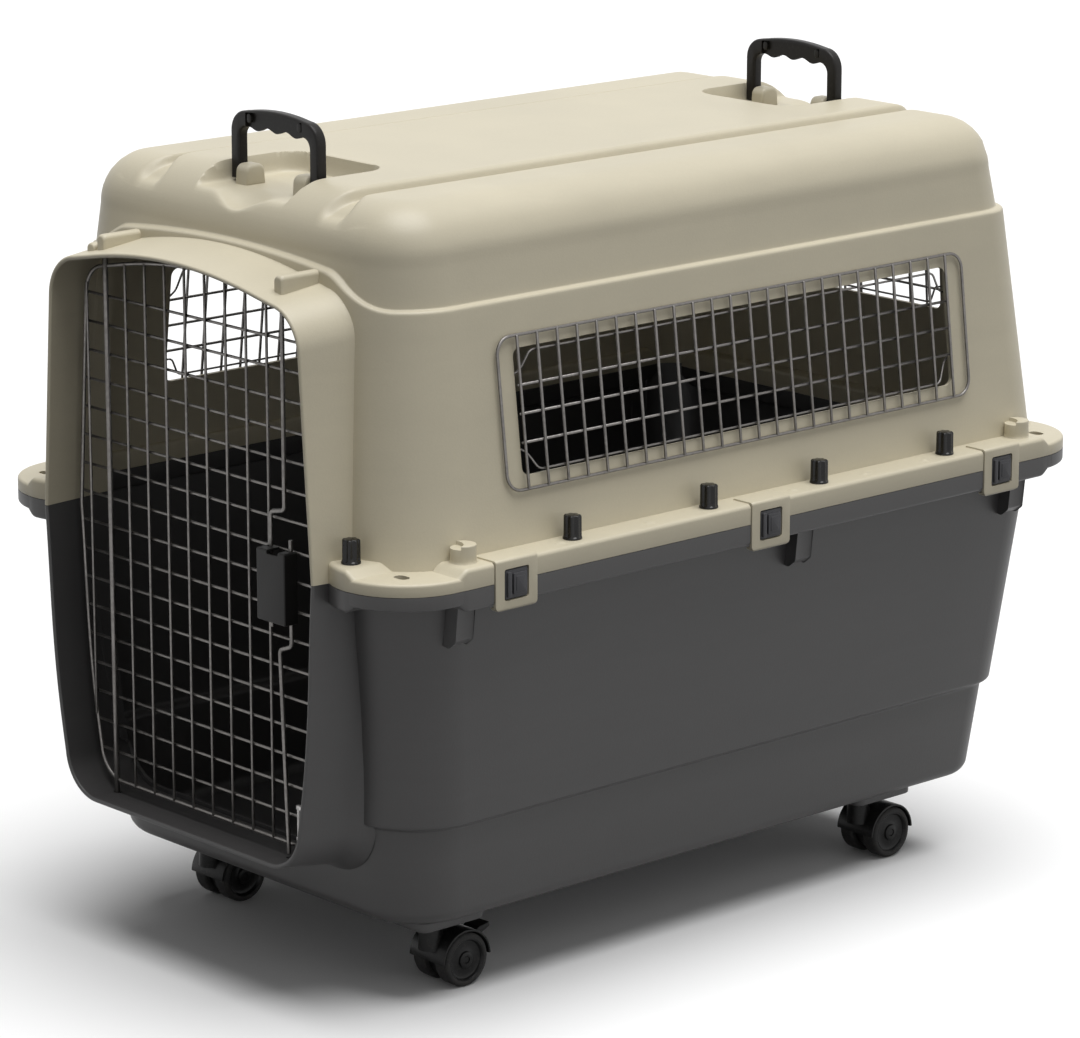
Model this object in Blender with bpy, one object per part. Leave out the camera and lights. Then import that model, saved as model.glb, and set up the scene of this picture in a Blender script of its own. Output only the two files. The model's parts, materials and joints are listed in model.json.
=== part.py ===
"""Wheeled pet travel crate, modelled in metres with +Z up.

The door faces -Y, the long window sides face -X and +X, and the origin is on the ground
under the middle of the crate. The two moulded shells meet at the rim plane RIM_Z.
"""
import math

import bmesh
import bpy
from mathutils import Matrix, Vector

# Overall layout
LENGTH = 0.923
TUB_Z = 0.083
TUB_DEPTH = 0.342
FIT_GAP = 0.0003
WALL = 0.0035
FLOOR_THICKNESS = 0.004

# Body plan at the rim, and the draft of its walls (run per rise)
BODY_HALF_WIDTH = 0.274
BODY_FRONT_SETBACK = 0.0415
BODY_REAR_SETBACK = 0.0275
FRONT_PLAN_RADIUS = 0.072
REAR_PLAN_RADIUS = 0.050
SIDE_DRAFT_UP = 0.1206
END_DRAFT_UP = 0.074
DRAFT_DOWN = 0.105

# Roof cap above the upper ledge
LEDGE_HEIGHT = 0.240
LEDGE_INSET = 0.008
ROOF_HEIGHT = 0.331
ROOF_CROWN = 0.004
CROWN_RUN = 0.030
ROOF_EDGE_RADIUS = 0.050
ROOF_CAP_DRAFT = 0.060
CROWN_HALF_WIDTH = 0.117
GROOVE_X = 0.134
GROOVE_WIDTH = 0.017
GROOVE_DEPTH = 0.0032

# Tub below the rim
LOWER_LEDGE_DROP = 0.241
LOWER_STEP = 0.008
TUB_EDGE_RADIUS = 0.014

# Rim flange: plan reach, tier heights above the rim and lip drops below it
FLANGE_REACH = 0.030
FLANGE_FRONT_SETBACK = 0.020
FLANGE_REAR_SETBACK = 0.010
LUG_RADIUS = 0.070
LUG_SIDES = 24
LUG_HEIGHT = 0.012
FLANGE_HEIGHT = 0.0195
LUG_DROP = 0.0135
LIP_DROP = 0.0200
LUG_HOLE_RADIUS = 0.0055
LUG_HOLE_STRETCH = 0.005
LUG_HOLE_REACH = 0.043
STRIP_WIDTH = 0.040
STRIP_EDGE = 0.003
STRIP_LEAD = 0.0295
STRIP_TAIL = 0.0255
REAR_STRIP_OVERLAP = 0.001
FRONT_PAD_WIDTH = 0.045

# Posts on the rim and gussets below it
POST_RADIUS = 0.0120
POST_HEIGHT = 0.0205
POST_STEP = 0.0035
POST_STEP_RADIUS = 0.0090
POST_STEP_SHIFT = 0.0085
POST_EDGE_INSET = 0.023
POST_FRONT_LEAD = 0.002
POST_REAR_LEAD = 0.008
GUSSET_WIDTH = 0.021
GUSSET_DEPTH = 0.040
GUSSET_REACH = 0.017
GUSSET_MIDDLE_SHARE = 0.0813

# Portal, the sleeve around the door
PORTAL_HALF_RIM = 0.201
PORTAL_TOP_TAPER = 0.015
PORTAL_BOTTOM_TAPER = 0.023
PORTAL_ARCH_END = 0.249
PORTAL_ARCH_RISE = 0.017
PORTAL_TOP_RADIUS = 0.044
PORTAL_DROP = 0.280
PORTAL_BOTTOM_RADIUS = 0.046
PORTAL_WALL = 0.0045
PORTAL_INNER_END = 0.078
PORTAL_FLARE = 0.008
BOSS_WIDTH = 0.024
BOSS_RISE = 0.275
BOSS_SETBACK = 0.0115
BOSS_EDGE = 0.006
BOSS_SLOPE = 0.004
LEFT_BOSS_INSET = 0.0885
RIGHT_BOSS_INSET = 0.047
NUB_RISE = 0.262
COLLAR_RISE = 0.037
COLLAR_SAG = 0.006
COLLAR_SHOULDER = 0.160
COLLAR_END = 0.222
COLLAR_DEPTH = 0.040
STOP_WIDTH = 0.012
STOP_THICKNESS = 0.008
STOP_END_GAP = 0.070
STOP_RIM_GAP = 0.030

# Door of crossed wires
DOOR_SETBACK = 0.033
DOOR_GAP = 0.0075
WIRE = 0.0028
FRAME_WIRE = 0.0038
WELD_SINK = 0.0005
DOOR_PITCH_X = 0.0298
DOOR_PITCH_Z = 0.0278
HINGE_INSET = 0.0614
HINGE_ROD_RADIUS = 0.0027
ROD_RADIUS = 0.0021
SOCKET_CLEARANCE = 0.0009
SOCKET_DEPTH = 0.012
HINGE_TIP_ENTRY = 0.007
ROD_TIP_GAP = 0.0015
LATCH_ROD_INSET = 0.075
LATCH_JOG_LEFT = 0.020
LATCH_JOG_RIGHT = 0.008
LATCH_JOG_LENGTH = 0.006
UPPER_JOG_LIFT = 0.020
UPPER_ROD_PAST_BOX = 0.010
LOWER_ROD_PAST_BOX = 0.010
LOWER_JOG_DROP = 0.018
LOWER_JOG_LENGTH = 0.018
LOWER_JOG_REACH = 0.012
LATCH_BOX_WIDTH = 0.047
LATCH_BOX_HEIGHT = 0.072
LATCH_BOX_DEPTH = 0.0155
LATCH_BOX_DROP = 0.024
LATCH_BOX_SHELL = 0.0022
LATCH_BOX_RADIUS = 0.006
LATCH_BOX_EDGE = 0.003
PIN_INSET = 0.030
PIN_DROP = 0.243
PIN_LENGTH = 0.034
PIN_RADIUS = 0.0018
PIN_SPACING = 0.0052
PIN_HEAD_WIDTH = 0.010
PIN_HEAD_DEPTH = 0.0044
PIN_HEAD_HEIGHT = 0.004
PIN_STANDOFF = 0.0028

# Window openings and their wire panels
SIDE_WINDOW_SHIFT = 0.0075
SIDE_WINDOW_CENTRE_UP = 0.1385
SIDE_OPENING_LENGTH = 0.565
SIDE_OPENING_HEIGHT = 0.116
REAR_WINDOW_CENTRE_UP = 0.165
REAR_OPENING_LENGTH = 0.262
REAR_OPENING_HEIGHT = 0.094
PANEL_END_MARGIN = 0.0210
PANEL_TOP_MARGIN = 0.0120
PANEL_PITCH = 0.0266
PANEL_ROW_PITCH = 0.0280
PANEL_FRAME_WIRE = 0.0030
PANEL_RADIUS = 0.016
OPENING_RADIUS = 0.008
WINDOW_CUT = 0.020

# Carry handles in their roof recesses
HANDLE_FRONT_SETBACK = 0.088
HANDLE_REAR_SETBACK = 0.096
HANDLE_HALF_WIDTH = 0.0635
HANDLE_RISE = 0.0595
HANDLE_LEG = 0.0125
HANDLE_FOOT = 0.0054
HANDLE_THICKNESS = 0.0115
HANDLE_SWING_GAP = 0.0006
HANDLE_CORNER = 0.020
HANDLE_GRIP = 0.0190
HANDLE_FILLET = 0.010
FINGER_WAVE = 0.0018
FINGER_COUNT = 3
FINGER_STEPS = 5
HANDLE_BOW = 0.004
RECESS_CLEARANCE = 0.0020
RECESS_DEPTH = 0.0195
RECESS_END_GAP = 0.0140
RECESS_RADIUS = 0.024
PIVOT_RADIUS = 0.0030
PIVOT_LENGTH = 0.0065
PIVOT_CLEARANCE = 0.0005
PIVOT_BOSS_RADIUS = 0.0105
PIVOT_BOSS_WIDTH = 0.014
SCOOP_HALF_WIDTH = 0.041
SCOOP_DROP = 0.0125
SCOOP_STEPS = 12
SCOOP_STATIONS = 4
SCOOP_LEAD = 0.012
SCOOP_RUN = 0.036

# Clips along the rim, each with a push button
CLIP_SHARES = (-0.3380, 0.0087, 0.3543)
CLIP_WIDTH = 0.050
CLIP_SINK = 0.0030
CLIP_SIDE_GAP = 0.0008
CLIP_END_GAP = 0.0010
CLIP_EDGE = 0.0020
CLIP_THICKNESS = 0.0040
CLIP_TOP_REACH = 0.022
CLIP_HOOK = 0.0042
CLIP_HOOK_GAP = 0.0026
CLIP_TOP_LIFT = 0.0006
BUTTON_SIZE = 0.027
BUTTON_GAP = 0.0005
BUTTON_PROUD = 0.0022
BUTTON_TRAVEL = 0.0030
BUTTON_BACK = 0.0030
BUTTON_RIBS = 3
BUTTON_RIB_HEIGHT = 0.0009
POCKET_MARGIN = 0.0020

# Fluted rim knobs
KNOB_RADIUS = 0.0092
KNOB_HEIGHT = 0.0245
KNOB_FLUTES = 7
KNOB_FLUTE_DEPTH = 0.0012
KNOB_EDGE_INSET = 0.019
KNOB_SHARES = (-0.2449, -0.0585, 0.0997, 0.2882)
KNOB_PORTAL_GAP = 0.017
KNOB_FRONT_INSET = 0.010
KNOB_REAR_SHARE = 0.4934
KNOB_REAR_INSET = 0.0075
KNOB_POCKET = 0.0030

# Twin wheel castors
CASTER_SIDE_INSET = 0.108
CASTER_FRONT_SETBACK = 0.124
CASTER_REAR_SETBACK = 0.156
CASTER_TRAIL = 0.024
WHEEL_RADIUS = 0.0260
WHEEL_WIDTH = 0.0170
WHEEL_SIDES = 18
WHEEL_DISH = 0.0030
WHEEL_CHAMFER = 0.0030
WHEEL_DISH_RADIUS = 0.0175
AXLE_RADIUS = 0.0030
AXLE_CLEARANCE = 0.0004
WEB_THICKNESS = 0.0120
WEB_SHARE = 0.80
WHEEL_SIDE_GAP = 0.0015
HOOD_GAP = 0.0015
HOOD_THICKNESS = 0.0022
HOOD_END = 2.0
HOOD_STEPS = 10
NECK_RADIUS = 0.0100
KINGPIN_RADIUS = 0.0040
KINGPIN_CLEARANCE = 0.0004
KINGPIN_LENGTH = 0.0100
PLATE_SIZE = 0.044
PLATE_THICKNESS = 0.0026
PLATE_RADIUS = 0.005
PAD_LENGTH = 0.078
PAD_WIDTH = 0.074
PAD_RADIUS = 0.010
PAD_SIDE_SHIFT = 0.010
PAD_FRONT_SHIFT = 0.010
PAD_DROP = 0.0095
BRAKE_WIDTH = 0.020
BRAKE_REACH = 0.0165
BRAKE_LIFT = 0.0050
BRAKE_ANGLE = 33.0
BRAKE_THICKNESS = 0.0038

ARC_STEPS = 5

RIM_Z = TUB_Z + TUB_DEPTH
PORTAL_HALF_TOP = PORTAL_HALF_RIM - PORTAL_TOP_TAPER
PORTAL_HALF_BOTTOM = PORTAL_HALF_RIM - PORTAL_BOTTOM_TAPER
FRONT_Y = -LENGTH / 2
REAR_Y = LENGTH / 2
BODY_FRONT_Y = FRONT_Y + BODY_FRONT_SETBACK
BODY_REAR_Y = REAR_Y - BODY_REAR_SETBACK
LEDGE_Z = RIM_Z + LEDGE_HEIGHT
ROOF_Z = RIM_Z + ROOF_HEIGHT
DECK_Z = ROOF_Z + ROOF_CROWN
FLANGE_HALF_WIDTH = BODY_HALF_WIDTH + FLANGE_REACH
LUG_X = FLANGE_HALF_WIDTH - LUG_RADIUS
LUG_REAR_Y = REAR_Y - LUG_RADIUS
LUG_FRONT_Y = -LUG_REAR_Y + FLANGE_REAR_SETBACK
FLANGE_TOP_Z = RIM_Z + FLANGE_HEIGHT
FLANGE_FRONT_Y = FRONT_Y + FLANGE_FRONT_SETBACK
FLANGE_REAR_Y = REAR_Y - FLANGE_REAR_SETBACK
SIDE_STRIP_FRONT = LUG_FRONT_Y + STRIP_LEAD
SIDE_STRIP_REAR = LUG_REAR_Y - STRIP_TAIL
POST_X = FLANGE_HALF_WIDTH - POST_EDGE_INSET
POST_FRONT_Y = SIDE_STRIP_FRONT - POST_FRONT_LEAD
POST_REAR_Y = SIDE_STRIP_REAR + POST_REAR_LEAD
LIP_Z = RIM_Z - LIP_DROP
HINGE_X = HINGE_INSET - PORTAL_HALF_RIM
LATCH_ROD_X = PORTAL_HALF_RIM - LATCH_ROD_INSET
LATCH_LEFT_X = LATCH_ROD_X - LATCH_JOG_LEFT
LATCH_RIGHT_X = LATCH_ROD_X + LATCH_JOG_RIGHT
LATCH_BOX_Z = RIM_Z - LATCH_BOX_DROP
PIN_X = PORTAL_HALF_BOTTOM - PIN_INSET
PIN_Z = RIM_Z - PIN_DROP
LEFT_BOSS_X = LEFT_BOSS_INSET - PORTAL_HALF_RIM
RIGHT_BOSS_X = PORTAL_HALF_RIM - RIGHT_BOSS_INSET
HANDLE_FRONT_Y = BODY_FRONT_Y + HANDLE_FRONT_SETBACK
HANDLE_REAR_Y = BODY_REAR_Y - HANDLE_REAR_SETBACK
CASTER_X = BODY_HALF_WIDTH - CASTER_SIDE_INSET
CASTER_FRONT_Y = BODY_FRONT_Y + CASTER_FRONT_SETBACK
CASTER_REAR_Y = BODY_REAR_Y - CASTER_REAR_SETBACK
CLIP_YS = tuple(share * LENGTH for share in CLIP_SHARES)
KNOB_YS = tuple(share * LENGTH for share in KNOB_SHARES)
DOOR_Y = FRONT_Y + DOOR_SETBACK
CROSS_Y = DOOR_Y + WIRE + FIT_GAP
ROD_Y = DOOR_Y - WIRE / 2 - ROD_RADIUS - FIT_GAP
PAD_Z = TUB_Z - PAD_DROP
RECESS_Z = DECK_Z - RECESS_DEPTH
PIVOT_Z = RECESS_Z + math.hypot(HANDLE_FOOT, HANDLE_THICKNESS / 2) + HANDLE_SWING_GAP


def clear_scene():
    """Remove every object of the file that this script runs in."""
    for thing in list(bpy.data.objects):
        bpy.data.objects.remove(thing, do_unlink=True)


def material(name, color, roughness, metallic=0.0):
    """Return a Principled material with a plain colour."""
    made = bpy.data.materials.new(name)
    made.use_nodes = True
    shader = made.node_tree.nodes["Principled BSDF"]
    shader.inputs["Base Color"].default_value = (*color, 1.0)
    shader.inputs["Roughness"].default_value = roughness
    shader.inputs["Metallic"].default_value = metallic
    made.diffuse_color = (*color, 1.0)
    return made


def add_object(name, mesh):
    """Link a new object that holds the mesh."""
    made = bpy.data.objects.new(name, mesh)
    bpy.context.collection.objects.link(made)
    return made


def from_bmesh(name, shape):
    """Turn a bmesh into an object with its faces pointing outwards."""
    bmesh.ops.recalc_face_normals(shape, faces=shape.faces)
    mesh = bpy.data.meshes.new(name)
    shape.to_mesh(mesh)
    shape.free()
    return add_object(name, mesh)


def loft(name, rings):
    """Join rings of equally many points into one closed solid with flat ends."""
    shape = bmesh.new()
    rows = [[shape.verts.new(point) for point in ring] for ring in rings]
    count = len(rings[0])
    for lower, upper in zip(rows, rows[1:]):
        for index in range(count):
            after = (index + 1) % count
            shape.faces.new((lower[index], lower[after], upper[after], upper[index]))
    shape.faces.new(rows[0])
    shape.faces.new(rows[-1])
    return from_bmesh(name, shape)


def prism(name, outline, low, high, axis="Z"):
    """Extrude a flat outline between two levels of one axis."""
    def place(point, level):
        if axis == "X":
            return Vector((level, point[0], point[1]))
        if axis == "Y":
            return Vector((point[0], level, point[1]))
        return Vector((point[0], point[1], level))
    return loft(name, [[place(point, level) for point in outline] for level in (low, high)])


def box(name, low, high):
    """Make a box between two corners."""
    outline = ((low[0], low[1]), (high[0], low[1]), (high[0], high[1]), (low[0], high[1]))
    return prism(name, outline, low[2], high[2])


def arc(centre, radius, start, end, steps=ARC_STEPS):
    """Return points of an arc in degrees, both ends included."""
    angles = (math.radians(start + (end - start) * step / steps) for step in range(steps + 1))
    return [(centre[0] + radius * math.cos(a), centre[1] + radius * math.sin(a)) for a in angles]


def circle(centre, radius, sides):
    """Return the corners of a regular polygon whose flats touch the circle."""
    outer = radius / math.cos(math.pi / sides)
    return [(centre[0] + outer * math.cos(2 * math.pi * (k + 0.5) / sides),
             centre[1] + outer * math.sin(2 * math.pi * (k + 0.5) / sides)) for k in range(sides)]


def disc(centre, radius, sides):
    """Return the corners of a regular polygon inside the circle."""
    return [(centre[0] + radius * math.cos(2 * math.pi * k / sides),
             centre[1] + radius * math.sin(2 * math.pi * k / sides)) for k in range(sides)]


def rounded_rectangle(low, high, radius, steps=ARC_STEPS):
    """Return a rectangle's outline with round corners, counter-clockwise."""
    corners = ((high[0] - radius, high[1] - radius, 0), (low[0] + radius, high[1] - radius, 90),
               (low[0] + radius, low[1] + radius, 180), (high[0] - radius, low[1] + radius, 270))
    return [point for x, y, turn in corners
            for point in arc((x, y), radius, turn, turn + 90, steps)]


def body_ring(z, half_width, front_y, rear_y, shrink=0.0):
    """Return one level of a shell's plan, with larger corners at the front."""
    front = max(FRONT_PLAN_RADIUS - shrink, 0.006)
    rear = max(REAR_PLAN_RADIUS - shrink, 0.006)
    outline = (arc((half_width - rear, rear_y - rear), rear, 0, 90)
               + arc((-half_width + rear, rear_y - rear), rear, 90, 180)
               + arc((-half_width + front, front_y + front), front, 180, 270)
               + arc((half_width - front, front_y + front), front, 270, 360))
    return [Vector((x, y, z)) for x, y in outline]


def edited(thing, mesh):
    """Give an object a new mesh and drop its modifiers."""
    thing.modifiers.clear()
    thing.data = mesh
    return thing


def combine(base, tools, operation):
    """Apply one exact Boolean of every tool to the base, and remove the tools."""
    for tool in tools:
        change = base.modifiers.new(operation.lower(), "BOOLEAN")
        change.operation = operation
        change.solver = "EXACT"
        change.object = tool
        shapes = bpy.context.evaluated_depsgraph_get()
        mesh = bpy.data.meshes.new_from_object(base.evaluated_get(shapes))
        edited(base, mesh)
        bpy.data.objects.remove(tool, do_unlink=True)
    return base


def fuse(base, *tools):
    """Join the tools to the base as one body."""
    return combine(base, tools, "UNION")


def cut(base, *tools):
    """Cut the tools out of the base."""
    return combine(base, tools, "DIFFERENCE")


def finish(thing, name, finish_material, angle=35.0):
    """Name a node, give it its material and smooth its round faces."""
    thing.name = name
    thing.data.name = name
    thing.data.materials.clear()
    thing.data.materials.append(finish_material)
    thing.data.shade_smooth()
    thing.data.set_sharp_from_angle(angle=math.radians(angle))
    return thing


def move_origin(thing, point):
    """Put an object's origin on a point and leave its shape where it is."""
    thing.data.transform(Matrix.Translation(-Vector(point)))
    thing.location = Vector(point)
    return thing


def tube(name, path, radius, sides=6, turn=0.0):
    """Sweep a regular section along a path of points, mitred at each bend."""
    points = [Vector(point) for point in path]
    steps = [(after - before).normalized() for before, after in zip(points, points[1:])]
    side = steps[0].orthogonal().normalized()
    rings = []
    for index, point in enumerate(points):
        before = steps[max(index - 1, 0)]
        after = steps[min(index, len(steps) - 1)]
        if index:
            side = before.rotation_difference(after) @ side if index < len(steps) else side
        tangent = (before + after).normalized()
        stretch = 1.0 / max(tangent.dot(after), 0.5)
        across = (side - tangent * side.dot(tangent)).normalized()
        other = tangent.cross(across)
        normal = (after - before)
        bend = normal.normalized() if normal.length > 1e-6 else None
        ring = []
        for k in range(sides):
            angle = turn + 2 * math.pi * k / sides
            offset = (across * math.cos(angle) + other * math.sin(angle)) * radius
            if bend is not None:
                offset += bend * offset.dot(bend) * (stretch - 1.0)
            ring.append(point + offset)
        rings.append(ring)
    return loft(name, rings)


def wire_bar(name, start, end, facing, size):
    """Make a straight wire with a square section that stands on its corner."""
    along = (end - start).normalized()
    across = along.cross(facing)
    corners = [facing, across, -facing, -across]
    return loft(name, [[point + corner * size / 2 for corner in corners] for point in (start, end)])


def merged(name, pieces):
    """Put several pieces that don't touch into one mesh."""
    shape = bmesh.new()
    for piece in pieces:
        shape.from_mesh(piece.data)
        bpy.data.objects.remove(piece, do_unlink=True)
    mesh = bpy.data.meshes.new(name)
    shape.to_mesh(mesh)
    shape.free()
    return add_object(name, mesh)


def wire_ring(name, outline, level, size):
    """Bend a wire of square section round a closed outline at one level of depth."""
    count = len(outline)
    shape = bmesh.new()
    loops = []
    for index, point in enumerate(outline):
        here = Vector(point)
        before = (here - Vector(outline[index - 1])).normalized()
        after = (Vector(outline[(index + 1) % count]) - here).normalized()
        along = (before + after).normalized()
        out = Vector((along.y, -along.x)) * (size / 2) / max(along.dot(after), 0.5)
        inner, outer = here - out, here + out
        loops.append([shape.verts.new((here.x, level - size / 2, here.y)),
                      shape.verts.new((outer.x, level, outer.y)),
                      shape.verts.new((here.x, level + size / 2, here.y)),
                      shape.verts.new((inner.x, level, inner.y))])
    for index in range(count):
        first, second = loops[index], loops[(index + 1) % count]
        for k in range(4):
            shape.faces.new((first[k], first[(k + 1) % 4], second[(k + 1) % 4], second[k]))
    return from_bmesh(name, shape)


def crossings(outline, value, axis):
    """Return the lowest and highest point where a line crosses a closed outline."""
    other = 1 - axis
    hits = []
    for first, second in zip(outline, outline[1:] + outline[:1]):
        low, high = sorted((first[axis], second[axis]))
        if low <= value < high:
            share = (value - first[axis]) / (second[axis] - first[axis])
            hits.append(first[other] + share * (second[other] - first[other]))
    return (min(hits), max(hits)) if len(hits) > 1 else None


def offset_outline(outline, distance):
    """Move a counter-clockwise outline inwards by a distance."""
    moved = []
    for index, point in enumerate(outline):
        before = (Vector(point) - Vector(outline[index - 1])).normalized()
        after = (Vector(outline[(index + 1) % len(outline)]) - Vector(point)).normalized()
        along = (before + after).normalized()
        inward = Vector((-along.y, along.x)) / max(along.dot(after), 0.5)
        moved.append(tuple(Vector(point) + inward * distance))
    return moved


def portal_arch_height(x):
    """Return the height of the portal's arched top above the rim at x."""
    chord = PORTAL_HALF_TOP - PORTAL_TOP_RADIUS
    radius = (chord ** 2 + PORTAL_ARCH_RISE ** 2) / (2 * PORTAL_ARCH_RISE)
    return PORTAL_ARCH_END + PORTAL_ARCH_RISE - radius + math.sqrt(radius ** 2 - x ** 2)


def portal_outline(inset=0.0, flare=0.0):
    """Return the portal's outline in X and Z, counter-clockwise from the right of the rim."""
    grow = 1.0 + flare / PORTAL_HALF_RIM
    top_x = (PORTAL_HALF_TOP - PORTAL_TOP_RADIUS)
    top_z = RIM_Z + PORTAL_ARCH_END - PORTAL_TOP_RADIUS
    low_x = PORTAL_HALF_BOTTOM - PORTAL_BOTTOM_RADIUS
    low_z = RIM_Z - PORTAL_DROP + PORTAL_BOTTOM_RADIUS
    arch = [(x, RIM_Z + portal_arch_height(x)) for x in
            (top_x * k / 4 for k in range(3, -4, -1))]
    outline = ([(PORTAL_HALF_RIM, RIM_Z)] + arc((top_x, top_z), PORTAL_TOP_RADIUS, 5, 85)
               + arch + arc((-top_x, top_z), PORTAL_TOP_RADIUS, 95, 175)
               + [(-PORTAL_HALF_RIM, RIM_Z)]
               + arc((-low_x, low_z), PORTAL_BOTTOM_RADIUS, 185, 270)
               + arc((low_x, low_z), PORTAL_BOTTOM_RADIUS, 270, 355))
    outline = [(x * grow, z + flare * (z - RIM_Z) / PORTAL_ARCH_END) for x, z in outline]
    return offset_outline(outline, inset) if inset else outline


def half_outline(outline, upper):
    """Keep the part of the portal's outline above or below the rim."""
    edge = RIM_Z + (FIT_GAP / 2 if upper else -FIT_GAP / 2)
    kept = [(x, z) for x, z in outline if (z > edge if upper else z < edge)]
    right = max(x for x, z in outline)
    corners = [(right, edge), (-right, edge)]
    if upper:
        return corners[:1] + kept + corners[1:]
    left = [(x, z) for x, z in kept if x < 0]
    rest = [(x, z) for x, z in kept if x >= 0]
    return corners[1:] + left + rest + corners[:1]


def portal_solid(upper):
    """Make the outer body of one half of the portal sleeve, a little wider at its back."""
    rings = []
    for y, flare in ((FRONT_Y, 0.0), (FRONT_Y + PORTAL_INNER_END, PORTAL_FLARE)):
        half = half_outline(portal_outline(flare=flare), upper)
        rings.append([Vector((x, y, z)) for x, z in half])
    return loft("portal", rings)


def portal_bore(upper):
    """Make the cutter that opens one half of the portal from the front into the cabin."""
    outline = half_outline(portal_outline(inset=PORTAL_WALL), upper)
    shift = -WALL if upper else WALL
    outline = [(x, z + (shift if abs(z - RIM_Z) < FIT_GAP else 0.0)) for x, z in outline]
    return prism("portal_bore", outline, FRONT_Y - WALL, FRONT_Y + PORTAL_INNER_END + WALL, "Y")


def drafted(rise, shrink, upward=True):
    """Return half width, front and rear of the body at a height above or below the rim."""
    side = SIDE_DRAFT_UP if upward else DRAFT_DOWN
    end = END_DRAFT_UP if upward else DRAFT_DOWN
    return (BODY_HALF_WIDTH - side * rise - shrink, BODY_FRONT_Y + end * rise + shrink,
            BODY_REAR_Y - end * rise - shrink)


def roof_rings(shrink, base_z):
    """Return the rings of the roof shell, shrunk by a wall where it is the inner surface."""
    def ring(z, plan, extra=0.0):
        return body_ring(z, plan[0] - extra, plan[1] + extra, plan[2] - extra, shrink + extra)
    rings = [ring(base_z, drafted(0.0, shrink)), ring(LEDGE_Z - shrink, drafted(LEDGE_HEIGHT, shrink))]
    shoulder = drafted(LEDGE_HEIGHT, shrink)
    rings.append(ring(LEDGE_Z - shrink + LEDGE_INSET / 3, shoulder, LEDGE_INSET))
    radius = ROOF_EDGE_RADIUS - shrink
    spring_z = ROOF_Z - ROOF_EDGE_RADIUS
    lean = LEDGE_INSET + ROOF_CAP_DRAFT * (spring_z - LEDGE_Z)
    steps = ARC_STEPS + 1
    for step in range(steps + 1):
        angle = math.pi / 2 * step / steps
        inset = lean + radius * (1 - math.cos(angle))
        rings.append(ring(spring_z + radius * math.sin(angle), shoulder, inset))
    return rings


def roof_body():
    """Make the solid outer body of the roof shell, with its crowned deck."""
    body = loft("roof", roof_rings(0.0, RIM_Z + FIT_GAP / 2))
    edge = ROOF_EDGE_RADIUS + LEDGE_INSET
    front, rear = BODY_FRONT_Y + edge, BODY_REAR_Y - edge
    low = rounded_rectangle((-CROWN_HALF_WIDTH, front), (CROWN_HALF_WIDTH, rear), ROOF_CROWN * 2)
    slope = ROOF_CROWN * 2
    high = rounded_rectangle((-CROWN_HALF_WIDTH + slope, front + CROWN_RUN),
                             (CROWN_HALF_WIDTH - slope, rear - CROWN_RUN), ROOF_CROWN * 2)
    deck = loft("deck", [[Vector((x, y, z)) for x, y in outline] for outline, z in
                         ((low, ROOF_Z - ROOF_CROWN), (low, ROOF_Z), (high, DECK_Z))])
    return fuse(body, deck)


def groove(side, extra):
    """Make the round bar that presses one long groove into the roof."""
    radius = (GROOVE_WIDTH ** 2 / 4 + GROOVE_DEPTH ** 2) / (2 * GROOVE_DEPTH)
    centre = (side * GROOVE_X, ROOF_Z - GROOVE_DEPTH + radius)
    return prism("groove", disc(centre, radius + extra, 16), FRONT_Y, REAR_Y, "Y")


def recess_outline(handle_y, fold, extra):
    """Return the plan of a handle recess that is open towards the nearer end."""
    half = HANDLE_HALF_WIDTH + RECESS_CLEARANCE + extra
    back = handle_y + fold * (HANDLE_RISE + RECESS_END_GAP + extra)
    radius = RECESS_RADIUS + extra
    mouth = handle_y - fold * LENGTH / 8
    if fold > 0:
        return ([(-half, mouth), (half, mouth)] + arc((half - radius, back - radius), radius, 0, 90)
                + arc((-half + radius, back - radius), radius, 90, 180))
    return ([(half, mouth), (-half, mouth)] + arc((-half + radius, back + radius), radius, 180, 270)
            + arc((half - radius, back + radius), radius, 270, 360))


def recess(handle_y, fold, extra):
    """Make the cutter of one handle recess, grown by a wall for the inner surface."""
    outline = recess_outline(handle_y, fold, extra)
    return prism("recess", outline, RECESS_Z - extra, DECK_Z + ROOF_EDGE_RADIUS)


def finger_scoop(handle_y, fold, extra):
    """Make the scoop that dips through the open edge of a handle recess."""
    rings = []
    mouth = handle_y - fold * LENGTH / 8
    lead = handle_y - fold * SCOOP_LEAD
    stations = [(lead - fold * SCOOP_RUN * step / SCOOP_STATIONS, step / SCOOP_STATIONS)
                for step in range(SCOOP_STATIONS + 1)] + [(mouth, 1.0)]
    for y, share in stations:
        drop = max(SCOOP_DROP * share * share * (3 - 2 * share), FIT_GAP)
        ring = [(SCOOP_HALF_WIDTH + extra, DECK_Z), (-SCOOP_HALF_WIDTH - extra, DECK_Z)]
        for step in range(SCOOP_STEPS + 1):
            x = (SCOOP_HALF_WIDTH + extra) * (2 * step / SCOOP_STEPS - 1)
            wave = (1 + math.cos(math.pi * x / (SCOOP_HALF_WIDTH + extra))) / 2
            ring.append((x, RECESS_Z - extra + FIT_GAP - drop * wave))
        rings.append([Vector((x, y, z)) for x, z in ring])
    return loft("scoop", rings)


def lug_centres():
    """Return the centres of the four corner lugs in plan."""
    return [(side * LUG_X, y) for side in (-1, 1) for y in (LUG_FRONT_Y, LUG_REAR_Y)]


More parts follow.
